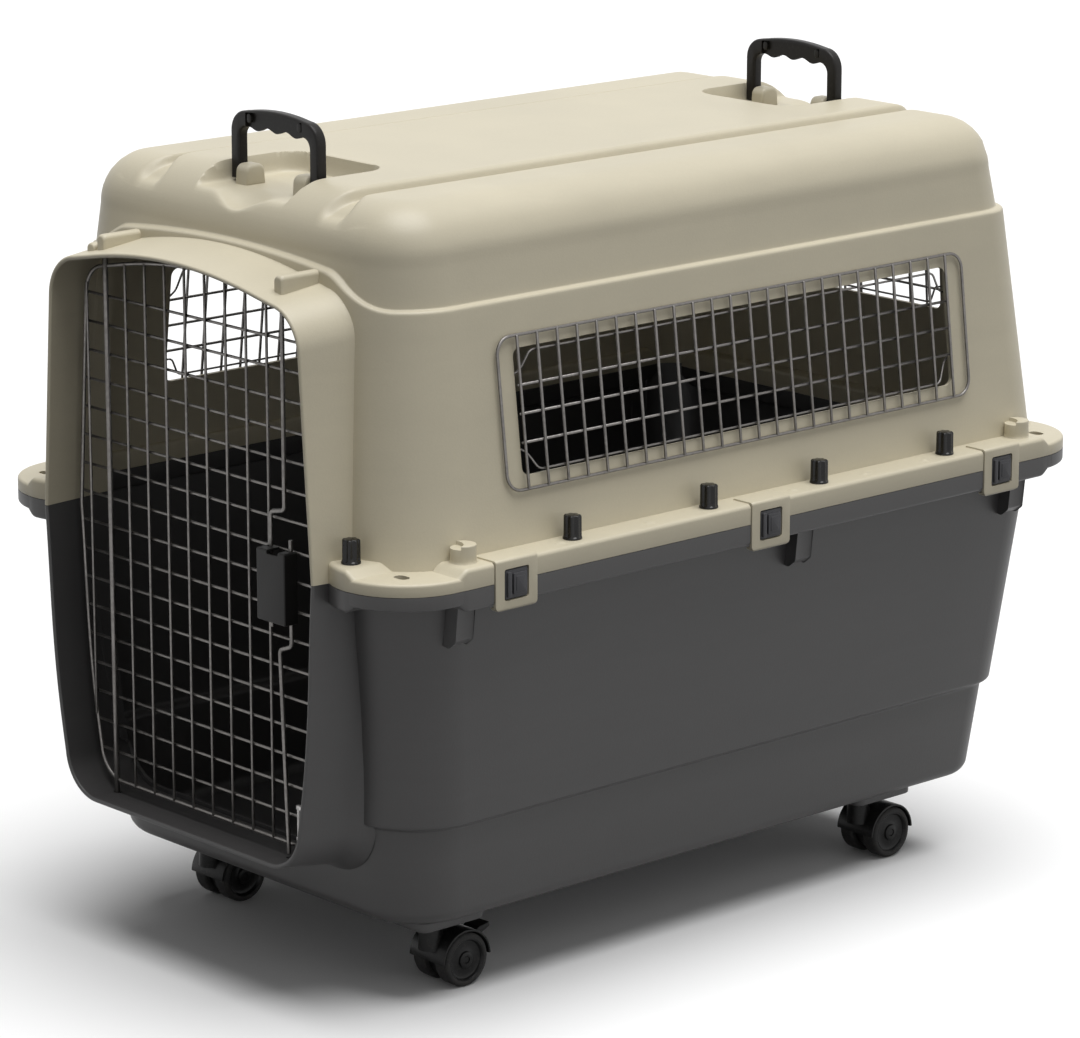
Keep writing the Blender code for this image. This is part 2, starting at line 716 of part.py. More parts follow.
def flange_plate(low, high):
    """Make the rim plate, a rectangle with a round lug at each corner."""
    plate = prism("flange", rounded_rectangle((-FLANGE_HALF_WIDTH, FLANGE_FRONT_Y),
                                              (FLANGE_HALF_WIDTH, FLANGE_REAR_Y), LUG_RADIUS), low, high)
    lugs = [prism("lug", disc(centre, LUG_RADIUS, LUG_SIDES), low + side * FIT_GAP / 3, high - side * FIT_GAP / 3)
            for side, centre in enumerate(lug_centres(), start=1)]
    return fuse(plate, *lugs)


def rim_strips(low, high):
    """Make the raised or dropped strips of the rim between its lugs."""
    inner = FLANGE_HALF_WIDTH - STRIP_WIDTH
    pad_inner = PORTAL_HALF_RIM - WALL
    pad_outer = PORTAL_HALF_RIM + FRONT_PAD_WIDTH
    rear_half = LUG_X + REAR_STRIP_OVERLAP
    strips = [box("strip", (-rear_half, FLANGE_REAR_Y - STRIP_WIDTH, low), (rear_half, FLANGE_REAR_Y, high))]
    for side in (-1, 1):
        xs = sorted((side * inner, side * FLANGE_HALF_WIDTH))
        strips.append(box("strip", (xs[0], SIDE_STRIP_FRONT, low), (xs[1], SIDE_STRIP_REAR, high)))
        xs = sorted((side * pad_inner, side * pad_outer))
        strips.append(box("pad", (xs[0], FLANGE_FRONT_Y, low), (xs[1], FLANGE_FRONT_Y + STRIP_WIDTH, high)))
    for strip in strips:
        edge = strip.modifiers.new("edge", "BEVEL")
        edge.width = STRIP_EDGE
        edge.segments = 1
        edge.limit_method = "ANGLE"
        shapes = bpy.context.evaluated_depsgraph_get()
        edited(strip, bpy.data.meshes.new_from_object(strip.evaluated_get(shapes)))
    return strips


def clip_notches():
    """Make the cutters of the shallow seats that let each clip lie almost flush with the rim."""
    half = CLIP_WIDTH / 2 + CLIP_SIDE_GAP
    face = FLANGE_HALF_WIDTH - CLIP_SINK
    inner = clip_face() - CLIP_TOP_REACH - CLIP_END_GAP
    outer = FLANGE_HALF_WIDTH + CLIP_SINK
    notches = []
    for side in (-1, 1):
        for y in CLIP_YS:
            xs = sorted((side * face, side * outer))
            notches.append(box("notch", (xs[0], y - half, LIP_Z - CLIP_SINK),
                               (xs[1], y + half, FLANGE_TOP_Z + CLIP_SINK)))
            xs = sorted((side * inner, side * outer))
            notches.append(box("notch", (xs[0], y - half, FLANGE_TOP_Z - CLIP_SINK),
                               (xs[1], y + half, FLANGE_TOP_Z + CLIP_SINK)))
    return notches


def lug_holes(low, high):
    """Make the cutters of the oval strap holes in the four lugs."""
    holes = []
    for x, y in lug_centres():
        out = Vector((math.copysign(1, x), math.copysign(1, y))).normalized()
        reach = Vector((x, y)) + out * LUG_HOLE_REACH
        points = []
        for px, py in disc((0.0, 0.0), LUG_HOLE_RADIUS, 10):
            shift = LUG_HOLE_STRETCH / 2 * (1 if px >= 0 else -1)
            points.append((reach.x + px + shift, reach.y + py))
        holes.append(prism("hole", points, low, high))
    return holes


def post_places():
    """Return the plan places of the four posts on the rim."""
    return [(side * POST_X, y) for side in (-1, 1) for y in (POST_FRONT_Y, POST_REAR_Y)]


def knob_places():
    """Return the plan places of the rim knobs with their names."""
    places = []
    for word, side in (("left", -1), ("right", 1)):
        for index, y in enumerate(KNOB_YS, start=1):
            places.append((f"rim_knob_{word}_{index}", side * (FLANGE_HALF_WIDTH - KNOB_EDGE_INSET), y))
        places.append((f"rim_knob_front_{word}", side * (PORTAL_HALF_RIM + KNOB_PORTAL_GAP),
                       FLANGE_FRONT_Y + KNOB_FRONT_INSET))
        places.append((f"rim_knob_rear_{word}", side * FLANGE_HALF_WIDTH * KNOB_REAR_SHARE,
                       FLANGE_REAR_Y - KNOB_REAR_INSET))
    return places


def button_pockets():
    """Make the cutters that give each clip button room behind its clip."""
    half = BUTTON_SIZE / 2 + POCKET_MARGIN
    depth = BUTTON_TRAVEL + BUTTON_GAP
    middle_z = clip_middle_z()
    pockets = []
    for side in (-1, 1):
        xs = sorted((side * (FLANGE_HALF_WIDTH - CLIP_SINK - depth - BUTTON_BACK),
                     side * (FLANGE_HALF_WIDTH + depth)))
        for y in CLIP_YS:
            pockets.append(box("pocket", (xs[0], y - half, middle_z - half), (xs[1], y + half, middle_z + half)))
    return pockets


def window_frame(side):
    """Return the matrix from panel space (X along, Y inwards, Z up) to one window's wall."""
    if side:
        rise = SIDE_WINDOW_CENTRE_UP
        middle = (BODY_FRONT_Y + BODY_REAR_Y) / 2 + SIDE_WINDOW_SHIFT
        spot = Vector((side * drafted(rise, 0.0)[0], middle, RIM_Z + rise))
        turn = Matrix.Rotation(math.radians(90 * side), 4, "Z")
        lean = math.atan(SIDE_DRAFT_UP)
    else:
        rise = REAR_WINDOW_CENTRE_UP
        spot = Vector((0.0, drafted(rise, 0.0)[2], RIM_Z + rise))
        turn = Matrix.Rotation(math.radians(180), 4, "Z")
        lean = math.atan(END_DRAFT_UP)
    return Matrix.Translation(spot) @ turn @ Matrix.Rotation(-lean, 4, "X")


def window_cutter(side):
    """Make the cutter of one window opening, square to its leaning wall."""
    length = SIDE_OPENING_LENGTH if side else REAR_OPENING_LENGTH
    height = SIDE_OPENING_HEIGHT if side else REAR_OPENING_HEIGHT
    outline = rounded_rectangle((-length / 2, -height / 2), (length / 2, height / 2), OPENING_RADIUS, 2)
    cutter = prism("window", outline, -WINDOW_CUT, WINDOW_CUT, "Y")
    cutter.data.transform(window_frame(side))
    return cutter


def top_of_bore(x):
    """Return the height of the portal's inner top at x."""
    return crossings(portal_outline(inset=PORTAL_WALL), x, 0)[1]


def bottom_of_bore(x):
    """Return the height of the portal's inner floor at x."""
    return crossings(portal_outline(inset=PORTAL_WALL), x, 0)[0]


def portal_bosses():
    """Make the round-edged ribs on top of the portal, and the low nub over the hinge rod."""
    bosses = []
    rear_y = BODY_FRONT_Y + PORTAL_INNER_END / 2
    for x, rise in ((LEFT_BOSS_X, BOSS_RISE), (RIGHT_BOSS_X, BOSS_RISE), (HINGE_X, NUB_RISE)):
        base = top_of_bore(x) + PORTAL_WALL / 2
        top = RIM_Z + rise
        half = BOSS_WIDTH / 2
        section = ([(x - half, base), (x + half, base)]
                   + arc((x + half - BOSS_EDGE, top - BOSS_EDGE), BOSS_EDGE, 0, 90, 3)
                   + arc((x - half + BOSS_EDGE, top - BOSS_EDGE), BOSS_EDGE, 90, 180, 3))
        inner = [(px + (x - px) / 4, pz - (BOSS_EDGE / 2 if pz > base else 0.0)) for px, pz in section]
        front = FRONT_Y + BOSS_SETBACK
        rings = [[Vector((px, front, pz)) for px, pz in inner],
                 [Vector((px, front + BOSS_EDGE / 2, pz)) for px, pz in section],
                 [Vector((px, rear_y, pz + (BOSS_SLOPE if pz > base else 0.0))) for px, pz in section]]
        bosses.append(loft("boss", rings))
    return bosses


def collar_rise(x):
    """Return how far the ledge climbs over the portal at x: an arch with an S-curve at each end."""
    arch = COLLAR_RISE - COLLAR_SAG * (x / COLLAR_SHOULDER) ** 2
    share = min(max((COLLAR_END - abs(x)) / (COLLAR_END - COLLAR_SHOULDER), 0.0), 1.0)
    return arch * share * share * (3 - 2 * share)


def collar():
    """Make the part of the front wall that climbs over the portal, under an arched ledge."""
    base_z = LEDGE_Z - COLLAR_RISE
    top_z = LEDGE_Z + COLLAR_RISE + LEDGE_INSET
    rings = [body_ring(z, *drafted(z - RIM_Z, FIT_GAP / 2)) for z in (base_z, top_z)]
    wall = loft("collar", rings)
    steps = [COLLAR_END * (1 - k / 12) for k in range(25)]
    top = [(x, LEDGE_Z + FIT_GAP + collar_rise(x)) for x in steps]
    outline = [(-COLLAR_END, base_z + LEDGE_INSET), (COLLAR_END, base_z + LEDGE_INSET)] + top
    keep = prism("keep", outline, FRONT_Y, BODY_FRONT_Y + COLLAR_DEPTH, "Y")
    return combine(wall, [keep], "INTERSECT")


def socket_cutter(x, low, high, radius):
    """Make the round cutter of a rod's socket."""
    return prism("socket", circle((x, DOOR_Y if x == HINGE_X else ROD_Y), radius + SOCKET_CLEARANCE, 10),
                 low, high)


def door_stop(low, high):
    """Make the stop rib behind the free edge of the door."""
    right = [crossings(portal_outline(inset=PORTAL_WALL / 2), z, 1)[1] for z in (low, high)]
    front = CROSS_Y + WIRE + 2 * FIT_GAP
    outline = [(right[0] - STOP_WIDTH, low), (right[0], low), (right[1], high), (right[1] - STOP_WIDTH, high)]
    return prism("stop", outline, front, front + STOP_THICKNESS, "Y")


def top_shell(plastic):
    """Make the upper shell: walls, crowned roof, windows, portal arch, rim and handle seats."""
    handles = ((HANDLE_FRONT_Y, 1), (HANDLE_REAR_Y, -1))
    low = RIM_Z + FIT_GAP / 2
    shell = fuse(roof_body(), collar(), flange_plate(low, RIM_Z + LUG_HEIGHT), *rim_strips(low, FLANGE_TOP_Z))
    for x, y in post_places():
        step = prism("post", disc((x, y - POST_STEP_SHIFT), POST_STEP_RADIUS, 12), low,
                     FLANGE_TOP_Z + POST_HEIGHT - POST_STEP)
        shell = fuse(shell, prism("post", disc((x, y), POST_RADIUS, 14), low, FLANGE_TOP_Z + POST_HEIGHT), step)
    for side in (-1, 1):
        shell = cut(shell, groove(side, 0.0))
    for y, fold in handles:
        shell = cut(shell, recess(y, fold, 0.0), finger_scoop(y, fold, 0.0))
    hollow = loft("hollow", roof_rings(WALL, RIM_Z - WALL))
    for side in (-1, 1):
        hollow = cut(hollow, groove(side, WALL))
    for y, fold in handles:
        hollow = cut(hollow, recess(y, fold, WALL), finger_scoop(y, fold, WALL))
    shell = cut(shell, hollow, *[window_cutter(side) for side in (-1, 0, 1)])
    shell = fuse(shell, portal_solid(True), *portal_bosses())
    shell = cut(shell, portal_bore(True))
    shell = fuse(shell, door_stop(RIM_Z + STOP_RIM_GAP, RIM_Z + PORTAL_ARCH_END - STOP_END_GAP))
    for x, radius in ((HINGE_X, HINGE_ROD_RADIUS), (LATCH_ROD_X, ROD_RADIUS)):
        top = top_of_bore(x)
        shell = cut(shell, socket_cutter(x, top - SOCKET_DEPTH, top + SOCKET_DEPTH, radius))
    shell = cut(shell, *lug_holes(RIM_Z - LUG_HEIGHT, RIM_Z + 2 * LUG_HEIGHT), *clip_notches(),
                *button_pockets())
    shell = cut(shell, *[prism("pocket", disc((x, y), KNOB_RADIUS + KNOB_POCKET, 12), FLANGE_TOP_Z,
                               FLANGE_TOP_Z + KNOB_HEIGHT) for name, x, y in knob_places()])
    for y, fold in handles:
        for side in (-1, 1):
            shell = pivot_boss(shell, side, y)
    return finish(shell, "top_shell", plastic)


def pivot_boss(shell, side, handle_y):
    """Add one round-topped boss beside a handle's leg, with the blind hole for its pivot."""
    outer = HANDLE_HALF_WIDTH - HANDLE_LEG - FIT_GAP * 2
    xs = sorted((side * outer, side * (outer - PIVOT_BOSS_WIDTH)))
    outline = ([(handle_y + PIVOT_BOSS_RADIUS, RECESS_Z - WALL / 2)]
               + arc((handle_y, PIVOT_Z), PIVOT_BOSS_RADIUS, 0, 180, 6)
               + [(handle_y - PIVOT_BOSS_RADIUS, RECESS_Z - WALL / 2)])
    boss = prism("boss", outline, xs[0], xs[1], "X")
    ends = sorted((side * (outer + WALL), side * (outer - PIVOT_LENGTH - PIVOT_CLEARANCE)))
    hole = prism("hole", circle((handle_y, PIVOT_Z), PIVOT_RADIUS + PIVOT_CLEARANCE, 10), *ends, "X")
    return cut(fuse(shell, boss), hole)


def tub_rings(shrink, top_z, floor_z):
    """Return the rings of the tub from its rim down to its rounded bottom edge."""
    def ring(z, plan, extra=0.0):
        return body_ring(z, plan[0] - extra, plan[1] + extra, plan[2] - extra, shrink + extra)
    step_z = RIM_Z - LOWER_LEDGE_DROP
    rings = [ring(top_z, drafted(0.0, shrink, False)), ring(step_z, drafted(LOWER_LEDGE_DROP, shrink, False)),
             ring(step_z - LOWER_STEP / 3, drafted(LOWER_LEDGE_DROP, shrink, False), LOWER_STEP)]
    plan = drafted(TUB_DEPTH, shrink, False)
    radius = TUB_EDGE_RADIUS - shrink
    for angle in (0, 30, 60, 90):
        turn = math.radians(angle)
        inset = LOWER_STEP + radius * (1 - math.cos(turn))
        rings.append(ring(floor_z + radius * (1 - math.sin(turn)), plan, inset))
    return rings


def gussets():
    """Make the short upright gussets under the rim's lip."""
    pieces = []
    for side in (-1, 1):
        for y in (POST_FRONT_Y, GUSSET_MIDDLE_SHARE * LENGTH, POST_REAR_Y):
            inner = BODY_HALF_WIDTH - DRAFT_DOWN * (LIP_DROP + GUSSET_DEPTH) - WALL / 2
            xs = sorted((side * inner, side * (inner + GUSSET_REACH)))
            pieces.append(box("gusset", (xs[0], y - GUSSET_WIDTH / 2, LIP_Z - GUSSET_DEPTH),
                              (xs[1], y + GUSSET_WIDTH / 2, LIP_Z + WALL)))
    return pieces


def caster_places():
    """Return the four castors' names and swivel axes in plan."""
    return [("front_left", -CASTER_X, CASTER_FRONT_Y), ("front_right", CASTER_X, CASTER_FRONT_Y),
            ("rear_left", -CASTER_X, CASTER_REAR_Y), ("rear_right", CASTER_X, CASTER_REAR_Y)]


def bottom_shell(plastic):
    """Make the tub: walls, stepped foot, portal sill, rim lip, gussets and castor pads."""
    high = RIM_Z - FIT_GAP / 2
    shell = fuse(loft("tub", tub_rings(0.0, high, TUB_Z)), flange_plate(RIM_Z - LUG_DROP, high),
                 *rim_strips(LIP_Z, high), *gussets())
    pads = []
    for name, x, y in caster_places():
        middle_x, middle_y = x + math.copysign(PAD_SIDE_SHIFT, x), y - PAD_FRONT_SHIFT
        pads.append(prism("pad", rounded_rectangle((middle_x - PAD_WIDTH / 2, middle_y - PAD_LENGTH / 2),
                                                   (middle_x + PAD_WIDTH / 2, middle_y + PAD_LENGTH / 2),
                                                   PAD_RADIUS, 3), PAD_Z, TUB_Z + FLOOR_THICKNESS / 2))
    shell = fuse(shell, *pads)
    shell = cut(shell, loft("hollow", tub_rings(WALL, RIM_Z + WALL, TUB_Z + FLOOR_THICKNESS)))
    shell = fuse(shell, portal_solid(False))
    shell = cut(shell, portal_bore(False))
    shell = fuse(shell, door_stop(RIM_Z - PORTAL_DROP + STOP_END_GAP, RIM_Z - STOP_RIM_GAP))
    for x, radius in ((HINGE_X, HINGE_ROD_RADIUS), (LATCH_ROD_X, ROD_RADIUS)):
        floor = bottom_of_bore(x)
        shell = cut(shell, socket_cutter(x, floor - SOCKET_DEPTH, floor + SOCKET_DEPTH, radius))
    shell = cut(shell, *lug_holes(RIM_Z - 2 * LUG_HEIGHT, RIM_Z + LUG_HEIGHT), *clip_notches(),
                *button_pockets())
    return finish(shell, "bottom_shell", plastic)


def lattice(name, frame_outline, uprights, rails, rail_level, frame_level, frame_size, rail_ends=None):
    """Lay upright wires over cross wires in X and Z, all welded into a bent frame wire.

    Where the cross wires stop short of the frame, the two outer uprights carry them.
    """
    frame = wire_ring(name, frame_outline, frame_level, frame_size)
    facing = Vector((0.0, -1.0, 0.0))
    upright_bars = []
    for x in uprights:
        low, high = crossings(frame_outline, x, 0)
        welded = rail_ends and x in (uprights[0], uprights[-1])
        level = rail_level - WIRE + (WELD_SINK if welded else -FIT_GAP)
        upright_bars.append(wire_bar("upright", Vector((x, level, low)), Vector((x, level, high)), facing, WIRE))
    rail_bars = []
    for z in rails:
        low, high = rail_ends or crossings(frame_outline, z, 1)
        rail_bars.append(wire_bar("rail", Vector((low, rail_level, z)), Vector((high, rail_level, z)),
                                  facing, WIRE))
    return fuse(fuse(frame, merged("uprights", upright_bars)), merged("rails", rail_bars))


def door_outline():
    """Return the bent outline of the door's frame wire."""
    return portal_outline(inset=PORTAL_WALL + DOOR_GAP + FRAME_WIRE / 2)


def door(wire):
    """Make the wire door with its thick hinge rod, which turns in the portal's sockets."""
    outline = door_outline()
    half = max(x for x, z in outline)
    first = HINGE_X - int((HINGE_X + half) / DOOR_PITCH_X) * DOOR_PITCH_X
    count = int((half - first) / DOOR_PITCH_X) + 1
    uprights = [first + DOOR_PITCH_X * k for k in range(count)]
    uprights = [x for x in uprights if abs(x - HINGE_X) > WIRE and abs(x) < half - 2 * WIRE]
    low = min(z for x, z in outline)
    high = max(z for x, z in outline)
    rails = [low + DOOR_PITCH_Z * k for k in range(1, int((high - low) / DOOR_PITCH_Z))]
    grille = lattice("door", outline, uprights, rails, CROSS_Y, (DOOR_Y + CROSS_Y) / 2, FRAME_WIRE)
    rod = prism("rod", disc((HINGE_X, DOOR_Y), HINGE_ROD_RADIUS, 8),
                bottom_of_bore(HINGE_X) - HINGE_TIP_ENTRY, top_of_bore(HINGE_X) + HINGE_TIP_ENTRY)
    grille = fuse(grille, rod)
    finish(grille, "door_grille", wire)
    return move_origin(grille, (HINGE_X, DOOR_Y, RIM_Z))


def latch_box(plastic):
    """Make the latch cover on the door: a shallow box, open behind, with slots for the rods."""
    middle = (LATCH_LEFT_X + LATCH_RIGHT_X) / 2
    half = LATCH_BOX_WIDTH / 2
    back = DOOR_Y - WIRE / 2 - FIT_GAP
    low_z, high_z = LATCH_BOX_Z - LATCH_BOX_HEIGHT / 2, LATCH_BOX_Z + LATCH_BOX_HEIGHT / 2
    outline = rounded_rectangle((middle - half, low_z), (middle + half, high_z), LATCH_BOX_RADIUS, 3)
    inner = offset_outline(outline, LATCH_BOX_EDGE)
    rings = [[Vector((x, back, z)) for x, z in outline],
             [Vector((x, back - LATCH_BOX_DEPTH + LATCH_BOX_EDGE, z)) for x, z in outline],
             [Vector((x, back - LATCH_BOX_DEPTH, z)) for x, z in inner]]
    cover = loft("latch_box", rings)
    shell = LATCH_BOX_SHELL
    cover = cut(cover, box("hollow", (middle - half + shell, back - LATCH_BOX_DEPTH + shell, low_z + shell),
                           (middle + half - shell, back + shell, high_z - shell)))
    for x in (LATCH_LEFT_X, LATCH_RIGHT_X):
        slot = ROD_RADIUS + SOCKET_CLEARANCE
        cover = cut(cover, box("slot", (x - slot, ROD_Y - slot, low_z - shell), (x + slot, back + shell,
                                                                              high_z + shell)))
    return finish(cover, "latch_box", plastic)


def latch_rods(wire):
    """Make the two sprung bolt rods, each with a hook by the latch box and a tip by its socket."""
    top = top_of_bore(LATCH_ROD_X) - ROD_TIP_GAP
    floor = bottom_of_bore(LATCH_ROD_X) + ROD_TIP_GAP
    above = LATCH_BOX_Z + LATCH_BOX_HEIGHT / 2
    below = LATCH_BOX_Z - LATCH_BOX_HEIGHT / 2
    jog_z = above + UPPER_JOG_LIFT
    upper = [(LATCH_ROD_X, ROD_Y, top), (LATCH_ROD_X, ROD_Y, jog_z + LATCH_JOG_LENGTH),
             (LATCH_LEFT_X, ROD_Y, jog_z), (LATCH_LEFT_X, ROD_Y, below - UPPER_ROD_PAST_BOX)]
    jog_z = below - LOWER_JOG_DROP
    lower = [(LATCH_RIGHT_X, ROD_Y, above + LOWER_ROD_PAST_BOX), (LATCH_RIGHT_X, ROD_Y, jog_z),
             (LATCH_RIGHT_X - LOWER_JOG_REACH, ROD_Y, jog_z - LOWER_JOG_LENGTH), (LATCH_ROD_X, ROD_Y, floor)]
    for name, path, spot in (("latch_rod_upper", upper, top), ("latch_rod_lower", lower, floor)):
        rod = tube(name, path, ROD_RADIUS, 6)
        finish(rod, name, wire)
        move_origin(rod, (LATCH_ROD_X, ROD_Y, spot))


def door_pins(steel):
    """Make the small paired pin clip on the lower free corner of the door."""
    low, high = PIN_Z - PIN_LENGTH / 2, PIN_Z + PIN_LENGTH / 2
    y = DOOR_Y - WIRE / 2 - PIN_STANDOFF
    half_x, half_y = PIN_HEAD_WIDTH / 2, PIN_HEAD_DEPTH / 2
    foot, head = [box("head", (PIN_X - half_x, y - half_y, z), (PIN_X + half_x, y + half_y, z + PIN_HEAD_HEIGHT))
                  for z in (low, high - PIN_HEAD_HEIGHT)]
    clip = fuse(foot, head)
    for side in (-1, 1):
        clip = fuse(clip, prism("pin", disc((PIN_X + side * PIN_SPACING / 2, y), PIN_RADIUS, 8),
                                low + PIN_HEAD_HEIGHT / 2, high - PIN_HEAD_HEIGHT / 2))
    return finish(clip, "door_pin_clip", steel)


def window_panel(name, side, wire):
    """Make one window's wire panel, seated on the outside of its wall."""
    length = SIDE_OPENING_LENGTH if side else REAR_OPENING_LENGTH
    height = SIDE_OPENING_HEIGHT if side else REAR_OPENING_HEIGHT
    half_x, half_z = length / 2 + PANEL_END_MARGIN, height / 2 + PANEL_TOP_MARGIN
    outline = rounded_rectangle((-half_x, -half_z), (half_x, half_z), PANEL_RADIUS, 3)
    columns = round((length - 2 * WIRE) / PANEL_PITCH)
    rows = round((height - WIRE) / PANEL_ROW_PITCH)
    uprights = [(length / 2 - WIRE) * (2 * k / columns - 1) for k in range(columns + 1)]
    rails = [(height / 2 - WIRE / 2) * (2 * k / rows - 1) for k in range(rows + 1)]
    ends = (-length / 2 - 2 * WIRE, length / 2 + 2 * WIRE)
    rail_level = -FIT_GAP - WIRE / 2
    frame_level = rail_level - FIT_GAP - (WIRE - PANEL_FRAME_WIRE) / 2 - 2 * WELD_SINK
    panel = lattice(name, outline, uprights, rails, rail_level, frame_level, PANEL_FRAME_WIRE, ends)
    panel.data.transform(window_frame(side))
    return finish(panel, name, wire)


def handle(name, pivot_y, plastic):
    """Make one bail handle: two legs, a bowed grip with finger waves and its pivot stubs."""
    half, corner = HANDLE_HALF_WIDTH, HANDLE_CORNER
    top = PIVOT_Z + HANDLE_RISE
    inner = half - HANDLE_LEG
    bow = [(x, top + HANDLE_BOW * (1 - (x / (half - corner)) ** 2)) for x in
           ((half - corner) * k / 4 for k in range(3, -4, -1))]
    outer_line = arc((half - corner, top - corner), corner, 0, 90, 4) + bow \
        + arc((-half + corner, top - corner), corner, 90, 180, 4)
    reach = inner - HANDLE_FILLET
    steps = FINGER_COUNT * FINGER_STEPS
    waves = []
    for k in range(steps + 1):
        x = -reach + 2 * reach * k / steps
        wave = FINGER_WAVE * math.cos(2 * math.pi * FINGER_COUNT * k / steps)
        waves.append((x, top - HANDLE_GRIP + wave + HANDLE_BOW * (1 - (x / half) ** 2)))
    legs_low = PIVOT_Z - HANDLE_FOOT
    fillet_z = top - HANDLE_GRIP - HANDLE_FILLET
    outline = ([(half, legs_low)] + outer_line
               + [(-half, legs_low), (-inner, legs_low), (-inner, fillet_z)] + waves
               + [(inner, fillet_z), (inner, legs_low)])
    depth = HANDLE_THICKNESS / 2
    bail = prism(name, outline, pivot_y - depth, pivot_y + depth, "Y")
    stub_end = inner - PIVOT_LENGTH
    for side in (-1, 1):
        xs = sorted((side * (inner + HANDLE_LEG / 2), side * stub_end))
        bail = fuse(bail, prism("stub", disc((pivot_y, PIVOT_Z), PIVOT_RADIUS, 8), xs[0], xs[1], "X"))
    finish(bail, name, plastic)
    return move_origin(bail, (0.0, pivot_y, PIVOT_Z))


def clip_face():
    """Return the distance of a clip's back face from the middle of the crate."""
    return FLANGE_HALF_WIDTH - CLIP_SINK + CLIP_TOP_LIFT


def clip_middle_z():
    """Return the height of the middle of a clip's face."""
    return (clip_top_z() + clip_bottom_z()) / 2


def clip_top_z():
    """Return the top of a clip, a little over the rim."""
    return FLANGE_TOP_Z - CLIP_SINK + CLIP_TOP_LIFT + CLIP_THICKNESS


def clip_bottom_z():
    """Return the bottom of a clip's hook, under the tub's lip."""
    return LIP_Z - CLIP_HOOK_GAP - CLIP_THICKNESS


def rim_clip(name, side, y, plastic):
    """Make one rim clip, which hooks under the lip and swings up about its top edge."""
    face_in = clip_face()
    face_out = face_in + CLIP_THICKNESS
    top_in = face_in - CLIP_TOP_REACH
    hook_in = face_in - CLIP_HOOK
    top, bottom = clip_top_z(), clip_bottom_z()
    profile = [(top_in, top - CLIP_THICKNESS), (face_in, top - CLIP_THICKNESS),
               (face_in, bottom + CLIP_THICKNESS), (hook_in, bottom + CLIP_THICKNESS),
               (hook_in, bottom + CLIP_EDGE), (hook_in + CLIP_EDGE, bottom), (face_out - CLIP_EDGE, bottom),
               (face_out, bottom + CLIP_EDGE), (face_out, top - CLIP_EDGE), (face_out - CLIP_EDGE, top),
               (top_in, top)]
    if side < 0:
        profile = [(-x, z) for x, z in reversed(profile)]
    clip = prism(name, profile, y - CLIP_WIDTH / 2, y + CLIP_WIDTH / 2, "Y")
    half = BUTTON_SIZE / 2 + BUTTON_GAP
    middle = clip_middle_z()
    xs = sorted((side * (face_in - WALL), side * (face_out + WALL)))
    clip = cut(clip, box("window", (xs[0], y - half, middle - half), (xs[1], y + half, middle + half)))
    finish(clip, name, plastic)
    return move_origin(clip, (side * top_in, y, top))


def clip_button(name, side, y, plastic):
    """Make one ribbed push button in a clip's window."""
    back = clip_face() - FIT_GAP
    front = clip_face() + CLIP_THICKNESS + BUTTON_PROUD
    half = BUTTON_SIZE / 2
    edge = BUTTON_RIB_HEIGHT
    middle = clip_middle_z()
    outline = [(back, y - half), (front - edge, y - half), (front, y - half + edge)]
    pitch = BUTTON_SIZE / (2 * BUTTON_RIBS + 1)
    for rib in range(BUTTON_RIBS):
        start = y - half + pitch * (2 * rib + 1)
        outline += [(front, start), (front - edge, start + pitch / 5), (front - edge, start + pitch * 4 / 5),
                    (front, start + pitch)]
    outline += [(front, y + half - edge), (front - edge, y + half), (back, y + half)]
    if side < 0:
        outline = [(-x, y_) for x, y_ in reversed(outline)]
    button = prism(name, outline, middle - half, middle + half)
    finish(button, name, plastic)
    return move_origin(button, (side * back, y, middle))


def knob(name, x, y, plastic):
    """Make one fluted knob that stands on the rim."""
    base = FLANGE_TOP_Z + FIT_GAP
    outline = []
    for k in range(KNOB_FLUTES * 2):
        reach = KNOB_RADIUS - (KNOB_FLUTE_DEPTH if k % 2 else 0.0)
        turn = math.pi * k / KNOB_FLUTES
        outline.append((reach * math.cos(turn), reach * math.sin(turn)))
    made = prism(name, [(x + px, y + py) for px, py in outline], base, base + KNOB_HEIGHT)
    finish(made, name, plastic)
    return move_origin(made, (x, y, base))


def turned(name, profile, sides):
    """Turn a closed profile of (distance along X, radius) points round the X axis."""
    shape = bmesh.new()
    rows = []
    for k in range(sides):
        angle = 2 * math.pi * k / sides
        rows.append([shape.verts.new((along, radius * math.sin(angle), radius * math.cos(angle)))
                     for along, radius in profile])
    for k in range(sides):
        first, second = rows[k], rows[(k + 1) % sides]
        for index in range(len(profile)):
            after = (index + 1) % len(profile)
            shape.faces.new((first[index], first[after], second[after], second[index]))
    return from_bmesh(name, shape)


def wheel(name, x, y, side, rubber):
    """Make one wheel: rounded tread, dished outer face and a bore for the axle."""
    bore = (AXLE_RADIUS + AXLE_CLEARANCE) / math.cos(math.pi / WHEEL_SIDES)
    width, radius = WHEEL_WIDTH, WHEEL_RADIUS
    profile = [(0.0, bore), (0.0, radius), (width - WHEEL_CHAMFER, radius), (width, radius - WHEEL_CHAMFER),
               (width, WHEEL_DISH_RADIUS), (width - WHEEL_DISH, WHEEL_DISH_RADIUS - WHEEL_DISH),
               (width - WHEEL_DISH, bore)]
    made = turned(name, profile, WHEEL_SIDES)
    if side < 0:
        made.data.transform(Matrix.Rotation(math.pi, 4, "Z"))
    offset = side * (WEB_THICKNESS / 2 + WHEEL_SIDE_GAP)
    made.data.transform(Matrix.Translation((x + offset, y, WHEEL_RADIUS)))
    finish(made, name, rubber)
    return move_origin(made, (x + offset + side * width / 2, y, WHEEL_RADIUS))


